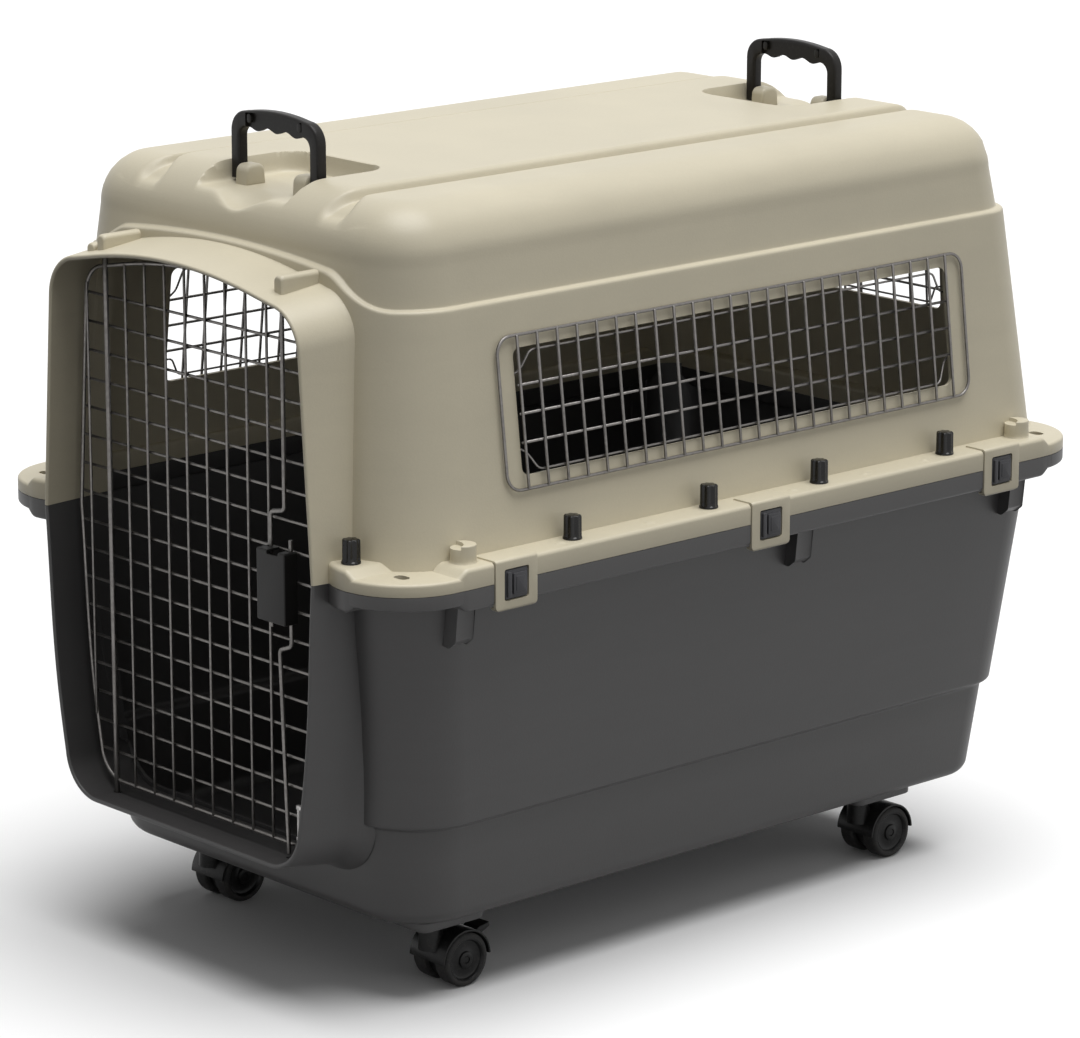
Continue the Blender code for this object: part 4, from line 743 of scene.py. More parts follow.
@dataclass(frozen=True)
class Polished(Finish):
    """Dark plastic that is smooth to the touch, with hairline scratches and dust.

    Attributes:
        gloss: Roughness of the clean face.
        coat: Weight of a clear gloss on top.
        dust: Share of pale dust in the hollows of the noise.
        ripple: Height of the long waves of the face in metres.
        shine: Specular level of the shader.
    """

    gloss: float = 0.3
    coat: float = 0.0
    dust: float = 0.05
    ripple: float = 0.0002
    shine: float = 0.22

    def make(self) -> bpy.types.Material:
        """Build the material."""
        g = self.graph()
        clouds = g.noise(26.0, 4.0)
        hair = g.noise(60.0, 4.0, 0.75, (1.0, 14.0, 14.0), 0.2)
        other = g.noise(60.0, 4.0, 0.75, (14.0, 1.0, 9.0), 0.3)
        scratch = (hair * other).ramp(0.30, 0.38)
        dust = g.noise(240.0, 3.0, 0.7).ramp(0.52, 0.72)
        color = g.mix(clouds.ramp(0.3, 0.7), shade_of(self.color, 0.85), shade_of(self.color, 1.2))
        color = g.mix(dust * self.dust, color, (0.30, 0.28, 0.25, 1.0))
        g.set(Base_Color=color, Metallic=0.0, IOR=1.5, Specular_IOR_Level=self.shine,
              Coat_Weight=self.coat, Coat_Roughness=0.12,
              Roughness=self.gloss + clouds * 0.08 + scratch * 0.12 + dust * 0.06 - 0.05,
              Normal=g.bump(scratch * 0.3 + clouds, self.ripple, 0.4))
        return g.material


@dataclass(frozen=True)
class Plated(Finish):
    """Zinc-plated steel with drawing marks, dull blooms and brighter rubbed spots.

    Attributes:
        gloss: Roughness of bright metal.
        bloom: Share by which dull patches darken the metal.
        marks: Drawing marks for each metre.
    """

    gloss: float = 0.26
    bloom: float = 0.30
    marks: float = 420.0

    def make(self) -> bpy.types.Material:
        """Build the material."""
        g = self.graph()
        patches = g.noise(34.0, 5.0, 0.65)
        spangle = g.cells(230.0)
        dull = (patches * 0.75 + spangle * 0.35).ramp(0.38, 0.72)
        lines = g.noise(self.marks, 2.0, 0.6, (1.0, 1.0, 0.08))
        color = g.mix(dull * self.bloom, (*self.color, 1.0), shade_of(self.color, 0.45))
        color = g.mix(lines.ramp(0.55, 0.75) * 0.25, color, shade_of(self.color, 1.25))
        g.set(Base_Color=color, Metallic=1.0 - dull * 0.06,
              Roughness=self.gloss + dull * 0.22 + lines * 0.08,
              Normal=g.bump(lines * 0.6 + spangle * 0.4, 0.00005, 0.5))
        return g.material


@dataclass(frozen=True)
class Rubber(Finish):
    """Matt tyre rubber with fine rolling marks and floor dust.

    Attributes:
        gloss: Roughness of clean rubber.
        dust: Share of pale dust.
    """

    gloss: float = 0.62
    dust: float = 0.22

    def make(self) -> bpy.types.Material:
        """Build the material."""
        g = self.graph()
        dirt = (g.noise(90.0, 5.0, 0.7) * 0.7 + g.noise(420.0, 2.0) * 0.3).ramp(0.42, 0.66)
        pores = g.cells(900.0)
        color = g.mix(dirt * self.dust, (*self.color, 1.0), (0.26, 0.24, 0.22, 1.0))
        g.set(Base_Color=color, Metallic=0.0, Specular_IOR_Level=0.25,
              Roughness=self.gloss + dirt * 0.16 + pores * 0.05,
              Normal=g.bump(pores * 0.5 + dirt * 0.5, 0.00012, 0.5))
        return g.material


class Kind(Enum):
    """Every finish of the crate, named after its slot."""

    BEIGE = Moulded("shell_beige", (0.520, 0.474, 0.358), gloss=0.46)
    GREY = Moulded("shell_grey", (0.044, 0.0425, 0.0425), gloss=0.46, cloud=0.10, scuff=0.10)
    WIRE = Plated("zinc_wire", (0.165, 0.157, 0.150))
    PLATE = Plated("zinc_plate", (0.42, 0.41, 0.40), gloss=0.38, marks=260.0)
    HANDLE = Polished("handle_black", (0.011, 0.0100, 0.0092), gloss=0.36, dust=0.03, shine=0.18)
    KNOB = Polished("knob_black", (0.006, 0.0055, 0.005), gloss=0.16, dust=0.02, shine=0.28)
    LATCH = Moulded("latch_slate", (0.015, 0.0145, 0.014), gloss=0.42, cloud=0.12, scuff=0.12,
                    shine=0.2)
    BUTTON = Moulded("button_grey", (0.046, 0.046, 0.050), gloss=0.50, cloud=0.08, scuff=0.10,
                     shine=0.3)
    CASTOR = Polished("castor_black", (0.008, 0.008, 0.008), gloss=0.34, dust=0.06, shine=0.2)
    TREAD = Rubber("wheel_tread", (0.026, 0.026, 0.026), dust=0.14)


class Workshop:
    """Hangs finished pieces on the frame, each with its finish, body and CAD node."""

    def __init__(self) -> None:
        """Build every material once."""
        self._materials = {kind: kind.value.make() for kind in Kind}

    def fit(self, piece: Object, kind: Kind, body: str, *nodes: str) -> Object:
        """Give a piece its finish and its place in the assembly.

        Args:
            piece: A finished object at the origin.
            kind: The finish.
            body: The body that it moves with.
            nodes: CAD nodes that it stands for.

        Returns:
            The same piece.
        """
        piece.data.materials.clear()
        piece.data.materials.append(self._materials[kind])
        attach(piece, body)
        if nodes:
            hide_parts(*nodes)
        log.info("%s: %d faces, %s, on %s", piece.name, len(piece.data.polygons),
                 kind.value.slot, body)
        return piece


# Shells


@dataclass
class PortalShape:
    """The outline of the door portal in X and Z, seen from the front."""

    half_rim: float = 0.201
    half_top: float = 0.186
    half_bottom: float = 0.178
    arch_end: float = 0.249
    arch_rise: float = 0.017
    top_radius: float = 0.044
    bottom_radius: float = 0.046
    drop: float = 0.280
    belly: float = 0.0048
    wall: float = 0.0045
    steps: int = 12

    def outline(self, inset: float = 0.0, flare: float = 0.0) -> Array:
        """Return the closed outline, anticlockwise from the right end of the rim.

        The top is a flat arc of a circle between two corner arcs, the sides are straight
        lines to the rim, and below it they swell by a sine before the two corner arcs.

        Args:
            inset: Distance inwards.
            flare: Growth of the half width, in proportion all round.

        Returns:
            Points of X and Z.
        """
        rim = CRATE.rim_z
        top_x, top_z = self.half_top - self.top_radius, rim + self.arch_end - self.top_radius
        low_x, low_z = self.half_bottom - self.bottom_radius, rim - self.drop + self.bottom_radius
        big = (top_x**2 + self.arch_rise**2) / (2 * self.arch_rise)
        x = top_x * np.linspace(0.86, -0.86, 2 * self.steps + 1)
        arch = rim + self.arch_end + self.arch_rise - big + np.sqrt(big**2 - x**2)
        side = np.linspace(0.0, 1.0, self.steps + 1)[1:-1, None]
        belly = self.belly * np.sin(math.pi * side**1.4) * np.array([1.0, 0.0])
        right, left = np.array([self.half_rim, rim]), np.array([-self.half_rim, rim])
        first = arc((top_x, top_z), self.top_radius, 5, 84, self.steps)
        last = arc((-top_x, top_z), self.top_radius, 96, 175, self.steps)
        low_left = arc((-low_x, low_z), self.bottom_radius, 185, 270, self.steps)
        low_right = arc((low_x, low_z), self.bottom_radius, 270, 355, self.steps)
        points = np.concatenate([
            right[None], right + (first[0] - right) * side, first, np.stack([x, arch], -1), last,
            last[-1] + (left - last[-1]) * side, left[None],
            left + (low_left[0] - left) * side - belly, low_left, low_right,
            low_right[-1] + (right - low_right[-1]) * side + belly[::-1]])
        grow = 1.0 + flare / self.half_rim
        moved = np.stack([points[:, 0] * grow,
                          points[:, 1] + flare * (points[:, 1] - rim) / self.arch_end], -1)
        return shifted(moved, inset) if inset else moved

    def half(self, upper: bool, inset: float = 0.0, flare: float = 0.0) -> Array:
        """Return the upper or the lower half of the outline as an open line.

        Args:
            upper: Whether the half above the rim is wanted.
            inset: Distance inwards.
            flare: Growth of the half width.

        Returns:
            Points from the right to the left end, or from the left to the right one.
        """
        points = self.outline(inset, flare)
        edge = CRATE.rim_z + (CRATE.gap if upper else -CRATE.gap) / 2
        left = int(np.argmin(np.hypot(points[:, 0] + self.half_rim, points[:, 1] - CRATE.rim_z)))
        line = points[:left + 1] if upper else np.concatenate([points[left:], points[:1]])
        line = line.copy()
        line[[0, -1], 1] = edge
        return line

    def span(self, value: float, axis: int, inset: float = 0.0) -> tuple[float, float]:
        """Return where a line of constant X (axis 0) or Z (axis 1) crosses the outline."""
        return crossings(self.outline(inset), value, axis)


def crossings(outline: Array, value: float, axis: int) -> tuple[float, float]:
    """Return the lowest and highest crossing of a line with a closed outline.

    Args:
        outline: Points of the outline.
        value: Level of the line.
        axis: Coordinate that the level belongs to.

    Returns:
        The other coordinate of the two outer crossings.
    """
    after = np.roll(outline, -1, 0)
    near, far = outline[:, axis], after[:, axis]
    hit = (np.minimum(near, far) <= value) & (value < np.maximum(near, far))
    share = (value - near[hit]) / (far[hit] - near[hit])
    other = outline[hit, 1 - axis]
    points = other + share * (after[hit, 1 - axis] - other)
    return float(points.min()), float(points.max())


PORTAL = PortalShape()


@dataclass
class Roof:
    """Heights of the roof as a function of X and Y, with grooves, deck, seats and scoops."""

    edge_radius: float = 0.050
    spring_z: float = 0.706
    spring_half: float = 0.2346
    spring_front: float = -0.3918
    spring_rear: float = 0.4058
    front_corner: float = 0.0615
    rear_corner: float = 0.050
    deck_rise: float = 0.004
    groove_x: float = 0.134
    groove_depth: float = 0.0078
    groove_half: float = 0.0086
    groove_flare: float = 0.012
    seat_half: float = 0.0655
    seat_reach: float = 0.0735
    seat_corner: float = 0.024
    seat_floor: float = 0.7405
    seat_slope: float = 6.0
    scoop_half: float = 0.043
    scoop_drop: float = 0.0125
    pivots: tuple[tuple[float, int], ...] = ((-0.332, 1), (0.338, -1))

    def inset(self, x: Array, y: Array, wall: float) -> Array:
        """Return the distance of points from the outline where the roof springs."""
        half = self.spring_half - wall
        front, rear = self.spring_front + wall, self.spring_rear - wall
        to_side = half - np.abs(x)
        to_front, to_rear = y - front, rear - y
        nearest = np.minimum(to_side, np.minimum(to_front, to_rear))
        for corner, to_end in ((self.front_corner, to_front), (self.rear_corner, to_rear)):
            corner = corner - wall
            round_part = corner - np.hypot(corner - to_side, corner - to_end)
            inside = (to_side < corner) & (to_end < corner)
            nearest = np.where(inside, round_part, nearest)
        return nearest

    def seat(self, x: Array, y: Array, pivot_y: float, fold: int) -> Array:
        """Return the height of one handle seat: a floor whose walls climb steeply.

        The distance s from the seat's outline is that of a box with round back corners. The
        wall is the hyperbola (s + sqrt(s*s + k*k)) / 2, so its foot is rounded. Towards the
        mouth the floor sinks by a cosine scoop that grows with a smooth step.
        """
        along = fold * (y - pivot_y)
        over_x = np.abs(x) - (self.seat_half - self.seat_corner)
        over_y = along - (self.seat_reach - self.seat_corner)
        outside = np.hypot(np.maximum(over_x, 0), np.maximum(over_y, 0))
        distance = np.minimum(np.maximum(over_x, over_y), 0) + outside - self.seat_corner
        climb = (distance + np.sqrt(distance**2 + 0.0014**2)) / 2
        wave = (1 + np.cos(math.pi * np.clip(x / self.scoop_half, -1, 1))) / 2
        sink = self.scoop_drop * wave * smooth_step(0.010, 0.046, -along)
        return self.seat_floor - sink + self.seat_slope * climb

    def height(self, x: Array, y: Array, wall: float = 0.0) -> Array:
        """Return the height of the roof's outer face, or of its inner one for a wall.

        Args:
            x: X of the points.
            y: Y of the points.
            wall: Thickness between the outer face and the wanted one.

        Returns:
            The Z coordinate of each point.
        """
        radius = self.edge_radius - wall
        depth = np.clip(self.inset(x, y, wall), 0.0, radius)
        top = self.spring_z + np.sqrt(radius**2 - (radius - depth)**2)
        across = np.abs(x)
        front_fade = smooth_step(self.spring_front + 0.014, self.spring_front + 0.060, y)
        rear_fade = smooth_step(self.spring_rear - 0.014, self.spring_rear - 0.060, y)
        top = top + self.deck_rise * smooth_step(0.1290, 0.1215, across) * front_fade * rear_fade
        ends = 1.0 - (smooth_step(self.spring_front + 0.012, self.spring_front + 0.050, y)
                      * smooth_step(self.spring_rear - 0.012, self.spring_rear - 0.050, y))
        width = self.groove_half + self.groove_flare * ends
        press = smooth_step(1.0, 0.40, np.abs(across - self.groove_x) / width)
        fade = (smooth_step(self.spring_front + 0.004, self.spring_front + 0.022, y)
                * smooth_step(self.spring_rear - 0.004, self.spring_rear - 0.022, y))
        top = top - self.groove_depth * press * fade
        for pivot_y, fold in self.pivots:
            top = smooth_min(top, self.seat(x, y, pivot_y, fold) - wall, 0.0045)
        return top


@dataclass
class UpperShell:
    """The beige upper shell: drafted walls, a ledge that climbs over the portal, and the roof."""

    ledge_inset: float = 0.0048
    ledge_rise: float = 0.0020
    ledge_foot: float = 0.0036
    cap_draft: float = 0.138
    morph_z: float = 0.722
    collar_rise: float = 0.037
    collar_sag: float = 0.008
    collar_shoulder: float = 0.172
    collar_end: float = 0.252
    grid_half: float = 0.160
    grid_inset: float = 0.006
    side_opening: tuple[float, float] = (0.565, 0.116)
    rear_opening: tuple[float, float] = (0.262, 0.094)
    roof: Roof = field(default_factory=Roof)

    def levels(self) -> tuple[Array, Array]:
        """Return the X and Y levels of the roof's grid, close where its shape turns."""
        half = runs(0.0, (0.038, 14), (0.073, 28), (0.112, 6), (0.1205, 4), (0.1445, 26),
                    (self.grid_half, 5))
        xs = np.concatenate([-half[:0:-1], half])
        front = self.roof.spring_front + self.grid_inset
        rear = self.roof.spring_rear - self.grid_inset
        ys = runs(front, (-0.345, 18), (-0.290, 13), (-0.252, 24), (0.258, 44), (0.294, 24),
                  (0.352, 13), (rear, 18))
        return xs, ys

    def turns(self, xs: Array, ys: Array) -> Array:
        """Return the position along the plan outline that meets each border point.

        The corners of the grid meet the middle of the outline's corner arcs.
        """
        bend_x, bend_y = 0.130, 0.045
        stops_x = [-self.grid_half, -bend_x, bend_x, self.grid_half]
        stops_y = [ys[0], ys[0] + bend_y, ys[-1] - bend_y, ys[-1]]
        front = np.interp(xs, stops_x, [-0.5, 0.0, 1.0, 1.5])[:-1]
        right = np.interp(ys, stops_y, [1.5, 2.0, 3.0, 3.5])[:-1]
        rear = np.interp(-xs[::-1], stops_x, [3.5, 4.0, 5.0, 5.5])[:-1]
        left = np.interp(-ys[::-1], [-y for y in stops_y[::-1]], [5.5, 6.0, 7.0, 7.5])[:-1]
        return np.concatenate([front, right, rear, left])

    def ledge_z(self, x: Array, y: Array) -> Array:
        """Return the ledge's height: an arch over the portal that ends in S-curves."""
        arch = self.collar_rise - self.collar_sag * (x / self.collar_shoulder)**2
        reach = smooth_step(self.collar_end, self.collar_shoulder, np.abs(x))
        return CRATE.ledge_z + np.where(y < 0, arch * reach, 0.0)

    def ring(self, turn: Array, z: Array, inset: Array, wall: float, cap: bool) -> Array:
        """Return points of the walls or of the cap.

        Args:
            turn: Positions along the plan outline.
            z: Heights.
            inset: Extra distances inwards.
            wall: Thickness between the outer face and the wanted one.
            cap: Whether the cap's plan is wanted, which keeps that of the shoulder.

        Returns:
            Points in space.
        """
        half, front, rear = CRATE.plan(np.full_like(z, CRATE.ledge_z) if cap else z)
        inset = inset + wall
        front_corner = CRATE.front_corner - inset
        rear_corner = np.full_like(z, CRATE.rear_corner - wall)
        x, y = plan_loop(turn, half - inset, front + inset, rear - inset, front_corner, rear_corner)
        return np.stack([x, y, z], -1)

    def cap_inset(self, z: Array, wall: float) -> Array:
        """Return the cap's distance inside the shoulder: its draft, then the roof's round edge."""
        radius = self.roof.edge_radius - wall
        lean = np.clip(z, CRATE.ledge_z, self.roof.spring_z) - CRATE.ledge_z
        over = np.clip(z - self.roof.spring_z, 0.0, radius)
        return self.ledge_inset + self.cap_draft * lean + radius - np.sqrt(radius**2 - over**2)

    def side_rings(self, turn: Array, wall: float, fine: bool) -> Array:
        """Return all rings from the rim to the steep part of the roof's edge."""
        low = np.full_like(turn, CRATE.rim_z + CRATE.gap / 2)
        at_foot = self.ring(turn, low, np.zeros_like(turn), 0.0, False)
        ledge = self.ledge_z(at_foot[:, 0], at_foot[:, 1]) - wall
        if fine:
            inset, rise = self.ledge_inset, self.ledge_rise
            lip = np.concatenate([
                bend([(0, 0, -0.0055), (0, 0, 0), (0.62 * inset, 0, 0.55 * rise)], 0.0024, 6)[:-1],
                bend([(0.58 * inset, 0, 0.52 * rise), (inset, 0, 0.86 * rise),
                      (inset, 0, self.ledge_foot)], 0.0010, 4)[1:]])
        else:
            lip = np.array([(0, 0, 0), (self.ledge_inset, 0, self.ledge_rise)])
        shares = np.linspace(0.0, 1.0, 9 if fine else 3)[:-1]
        rings = [self.ring(turn, low + (ledge + lip[0, 2] - low) * s, 0 * turn, wall, False)
                 for s in shares]
        for inset, _, lift in lip:
            share = inset / self.ledge_inset
            from_wall = self.ring(turn, ledge + lift, 0 * turn, wall, False)
            from_cap = self.ring(turn, ledge + lift, self.cap_inset(ledge + lift, wall), wall, True)
            rings.append(from_wall + (from_cap - from_wall) * share)
        start = ledge + lip[-1, 2]
        for share in np.linspace(0.0, 1.0, 11 if fine else 5)[1:]:
            z = start + (self.morph_z - wall - start) * share
            rings.append(self.ring(turn, z, self.cap_inset(z, wall), wall, True))
        return np.stack(rings)

    def surface(self, made: Surface, wall: float, fine: bool) -> Array:
        """Add one face of the shell, outer or inner, and return its lowest ring."""
        xs, ys = self.levels()
        turn = self.turns(xs, ys)
        sides = self.side_rings(turn, wall, fine)
        grid_x, grid_y = np.meshgrid(xs, ys)
        grid = np.stack([grid_x, grid_y, self.roof.height(grid_x, grid_y, wall)], -1)
        numbers = made.add(grid)
        border = np.concatenate([numbers[0, :-1], numbers[:-1, -1], numbers[-1, :0:-1],
                                 numbers[:0:-1, 0]])
        edge = np.concatenate([grid[0, :-1], grid[:-1, -1], grid[-1, :0:-1], grid[:0:-1, 0]])
        shares = np.array([0.08, 0.18, 0.30, 0.44, 0.60, 0.80]) if fine else np.array([0.3, 0.6])
        plan = sides[-1][None, :, :2] * (1 - shares[:, None, None]) \
            + edge[None, :, :2] * shares[:, None, None]
        rise = self.roof.height(plan[..., 0], plan[..., 1], wall)
        morph = np.concatenate([plan, rise[..., None]], -1)
        rings = made.add(np.concatenate([sides, morph]))
        made.skin(np.concatenate([rings, border[None]]), wrap_columns=True)
        made.skin(numbers)
        return rings[0]

    def window_matrix(self, side: int) -> Matrix:
        """Return the matrix from a window's plane to its wall; side 0 is the rear."""
        rise = 0.1385 if side else 0.165
        half, _, rear = (float(v) for v in CRATE.plan(np.array(CRATE.rim_z + rise)))
        if side:
            middle = (CRATE.body_front + CRATE.body_rear) / 2 + 0.0075
            spot = Vector((side * half, middle, CRATE.rim_z + rise))
            turn = Matrix.Rotation(math.radians(90 * side), 4, "Z")
            lean = math.atan(CRATE.side_draft)
        else:
            spot = Vector((0.0, rear, CRATE.rim_z + rise))
            turn = Matrix.Rotation(math.pi, 4, "Z")
            lean = math.atan(CRATE.end_draft)
        return Matrix.Translation(spot) @ turn @ Matrix.Rotation(-lean, 4, "X")

    def window_tool(self, side: int) -> Object:
        """Make the cutter of one window."""
        length, height = self.side_opening if side else self.rear_opening
        tool = slab("window_tool", round_rect(length / 2, height / 2, 0.008), -0.02, 0.02, Axis.Y)
        tool.data.transform(self.window_matrix(side))
        return tool

    def build(self, shop: Workshop) -> None:
        """Make the shell and put it in place."""
        made = Surface()
        outer = self.surface(made, 0.0, True)
        inner = self.surface(made, CRATE.wall, False)
        made.skin(np.stack([outer, inner]), wrap_columns=True)
        shell = made.build("upper_shell", 32.0)
        tools = [self.window_tool(side) for side in (-1, 0, 1)] + [bore_tool(True)]
        shop.fit(combine(shell, tools, sharp=32.0), Kind.BEIGE, "crate", "top_shell")


def bore_tool(upper: bool) -> Object:
    """Make the cutter that opens the wall inside the portal sleeve."""
    outline = PORTAL.half(upper, inset=PORTAL.wall / 2, flare=0.003)
    shift = -0.01 if upper else 0.01
    outline = np.concatenate([outline, outline[[-1, 0]] + np.array([0.0, shift])])
    return slab("bore_tool", outline, CRATE.mouth_y - 0.01, -0.355, Axis.Y)


@dataclass
class LowerShell:
    """The dark tub: drafted walls, a stepped foot, a round lower edge and a flat floor."""

    step_drop: float = 0.241
    step_inset: float = 0.008
    depth: float = 0.342
    edge_radius: float = 0.014
    gusset_half: float = 0.0105

    def rings(self, wall: float, floor_z: float) -> Array:
        """Return the rings of one face of the tub, from the rim down to its flat bottom.

        The profile is a list of heights and insets: the drafted wall, the step with its two
        rounded corners, the lower wall and a quarter circle.
        """
        turn = even_turns(10, 10)
        step_z = CRATE.rim_z - self.step_drop
        radius = self.edge_radius - wall
        low = CRATE.rim_z - self.depth
        step = bend([(0, 0, step_z + 0.012), (0, 0, step_z), (self.step_inset, 0, step_z - 0.003),
                     (self.step_inset, 0, step_z - 0.016)], 0.0036, 5)
        wall_z = np.linspace(CRATE.rim_z - CRATE.gap / 2, step_z + 0.016, 7)
        edge = np.radians(np.linspace(0, 90, 9))
        heights = np.concatenate([wall_z, step[:, 2], floor_z + radius * (1 - np.sin(edge))])
        insets = np.concatenate([0 * wall_z, step[:, 0],
                                 self.step_inset + radius * (1 - np.cos(edge))])
        plan_z = np.maximum(heights, low)
        z = np.broadcast_to(heights[:, None], (len(heights), len(turn)))
        half, front, rear = (v[:, None] for v in CRATE.plan(plan_z))
        inset = insets[:, None] + wall
        front_corner = np.maximum(CRATE.front_corner - inset, 0.006)
        rear_corner = np.maximum(CRATE.rear_corner - inset, 0.006)
        x, y = plan_loop(turn[None], half - inset, front + inset, rear - inset, front_corner,
                         rear_corner)
        return np.stack([x, y, z], -1)

    def build(self, shop: Workshop) -> None:
        """Make the tub and put it in place."""
        made = Surface()
        outer = made.grid(self.rings(0.0, CRATE.tub_z), wrap_columns=True)
        inner = made.grid(self.rings(CRATE.wall, CRATE.tub_z + CRATE.floor), wrap_columns=True)
        made.skin(np.stack([outer[0], inner[0]]), wrap_columns=True)
        made.cap(outer[-1])
        made.cap(inner[-1])
        tub = combine(made.build("lower_shell", 32.0), [bore_tool(False)], sharp=32.0)
        shop.fit(tub, Kind.GREY, "crate", "bottom_shell")
        self.build_pads(shop)
        self.build_gussets(shop)

    def build_pads(self, shop: Workshop) -> None:
        """Make the four round-cornered pads that carry the castors."""
        for word, x, y in CASTER_PLACES:
            middle = np.array([x + math.copysign(0.010, x), y - 0.010])
            outline = round_rect(0.037, 0.039, 0.010, 8) + middle
            made = Surface()
            made.stack(slab_rings(outline, 0.0735, CRATE.tub_z + 0.001, Axis.Z, 0.0022))
            shop.fit(made.build(f"pad_{word}"), Kind.GREY, "crate")

    def build_gussets(self, shop: Workshop) -> None:
        """Make the upright gussets under the rim's lip, which lean into the wall below."""
        for side in Side:
            order = -side.value  # mirroring turns an outline over, so one side is read backwards
            for index, y in enumerate((-0.354, 0.075, 0.374), start=1):
                lean = [(0.2635, 0.409), (0.2635, 0.367), (0.2725, 0.3655), (0.2805, 0.372),
                        (0.2845, 0.409)]
                outline = fillet([(side.value * px, pz) for px, pz in lean][::order],
                                 [0, 0, 0.004, 0.003, 0][::order], 4)
                piece = slab(f"gusset_{side.word}_{index}", outline, y - self.gusset_half,
                             y + self.gusset_half, Axis.Y, 0.0016)
                shop.fit(piece, Kind.GREY, "crate")


CASTER_PLACES = (("front_left", -0.166, -0.296), ("front_right", 0.166, -0.296),
                 ("rear_left", -0.166, 0.278), ("rear_right", 0.166, 0.278))


@dataclass
class Sleeve:
    """The portal sleeve in front of both shells, with its ribs, nub and door stop."""

    end_y: float = -0.3835
    flare: float = 0.008
    lip: float = 0.0022
    rib_half: float = 0.0058
    rib_edge: float = 0.0042
    rib_top: float = 0.2690

    def section(self) -> list[tuple[float, float, float]]:
        """Return the wall's section as (Y, inset, share of flare), from inside to outside.

        The mouth is a half round lip, and the outer face widens smoothly towards the wall.
        """
        wall, front = PORTAL.wall, CRATE.mouth_y
        inner = [(self.end_y, wall, 1.0), (front + 0.03, wall, 0.3)]
        angle = np.radians(np.linspace(0, 180, 9))
        lip = [(front + self.lip * (1 - math.sin(a)), wall / 2 + wall / 2 * math.cos(a), 0.0)
               for a in angle]
        share = np.linspace(0.0, 1.0, 9)[1:]
        outer = [(front + self.lip + (self.end_y - front - self.lip) * s,
                  -0.010 * float(smooth_step(0.72, 1.15, s)), s) for s in share]
        return inner + lip + outer

    def sleeve(self, upper: bool) -> Object:
        """Make one half: the section is carried along that half of the outline."""
        rings = [lay(PORTAL.half(upper, inset, self.flare * share), y, Axis.Y)
                 for y, inset, share in self.section()]
        made = Surface()
        numbers = made.add(np.stack(rings, 1))
        made.skin(numbers, wrap_columns=True)
        made.cap(numbers[0])
        made.cap(numbers[-1])
        return made.build("portal_upper" if upper else "portal_lower", 50.0)

    def rib(self, name: str, x: float, rise: float, half: float) -> Object:
        """Make one round-edged rib that runs along the top of the sleeve into the wall.

        Rings along Y are a rectangle with two round upper corners, whose height and width
        grow over the nose with a quarter circle.
        """
        base = PORTAL.span(x, 0, PORTAL.wall / 2)[1] - 0.001
        top = CRATE.rim_z + rise
        front, nose = CRATE.mouth_y + 0.0180, 0.0045
        angle = np.radians(np.linspace(0, 90, 8))
        places = np.concatenate([front + nose * (1 - np.cos(angle)), [-0.42, -0.39, -0.372]])
        sizes = np.concatenate([0.72 + 0.28 * np.sin(angle), np.ones(3)])
        rings = []
        for y, size in zip(places, sizes):
            height, wide = (top - base) * (1 - (1 - size) * 0.5), half * size
            edge = min(self.rib_edge, wide * 0.8)
            section = fillet([(x - wide, base), (x + wide, base), (x + wide, base + height),
                              (x - wide, base + height)], [0, 0, edge, edge], 6)
            rings.append(lay(section, y, Axis.Y))
        made = Surface()
        made.stack(np.stack(rings))
        return made.build(name, 50.0)

    def stop(self, name: str, low: float, high: float) -> Object:
        """Make one part of the stop rib behind the door's free edge."""
        right = [PORTAL.span(z, 1, PORTAL.wall / 2)[1] for z in (low, high)]
        outline = fillet([(right[0] - 0.012, low), (right[0], low), (right[1], high),
                          (right[1] - 0.012, high)], [0.004, 0, 0, 0.004])
        return slab(name, outline, -0.4220, -0.4140, Axis.Y, 0.0012)

    def sockets(self, name: str, upper: bool) -> list[Object]:
        """Make the cutters of the two rod sockets."""
        tools = []
        for x, y, radius in ((Door.hinge_x, CRATE.door_y, 0.0036),
                             (Door.latch_x, Door.rod_y, 0.0030)):
            z = PORTAL.span(x, 0, PORTAL.wall)[1 if upper else 0]
            tools.append(slab(name, round_rect(radius, radius, radius * 0.98, 5) + np.array([x, y]),
                              z - 0.012, z + 0.012))
        return tools

    def build(self, shop: Workshop) -> None:
        """Make both halves with their fittings."""
        for upper, kind in ((True, Kind.BEIGE), (False, Kind.GREY)):
            half = combine(self.sleeve(upper), self.sockets("socket_tool", upper), sharp=50.0)
            shop.fit(half, kind, "crate")
        for name, x, rise, half in (("left_rib", -0.1265, self.rib_top, self.rib_half),
                                    ("right_rib", 0.1342, self.rib_top, self.rib_half),
                                    ("hinge_nub", -0.1420, 0.2590, 0.0060)):
            shop.fit(self.rib(name, x, rise, half), Kind.BEIGE, "crate")
        shop.fit(self.stop("upper_stop", 0.455, 0.604), Kind.BEIGE, "crate")
        shop.fit(self.stop("lower_stop", 0.215, 0.395), Kind.GREY, "crate")


# Rim, clips, knobs


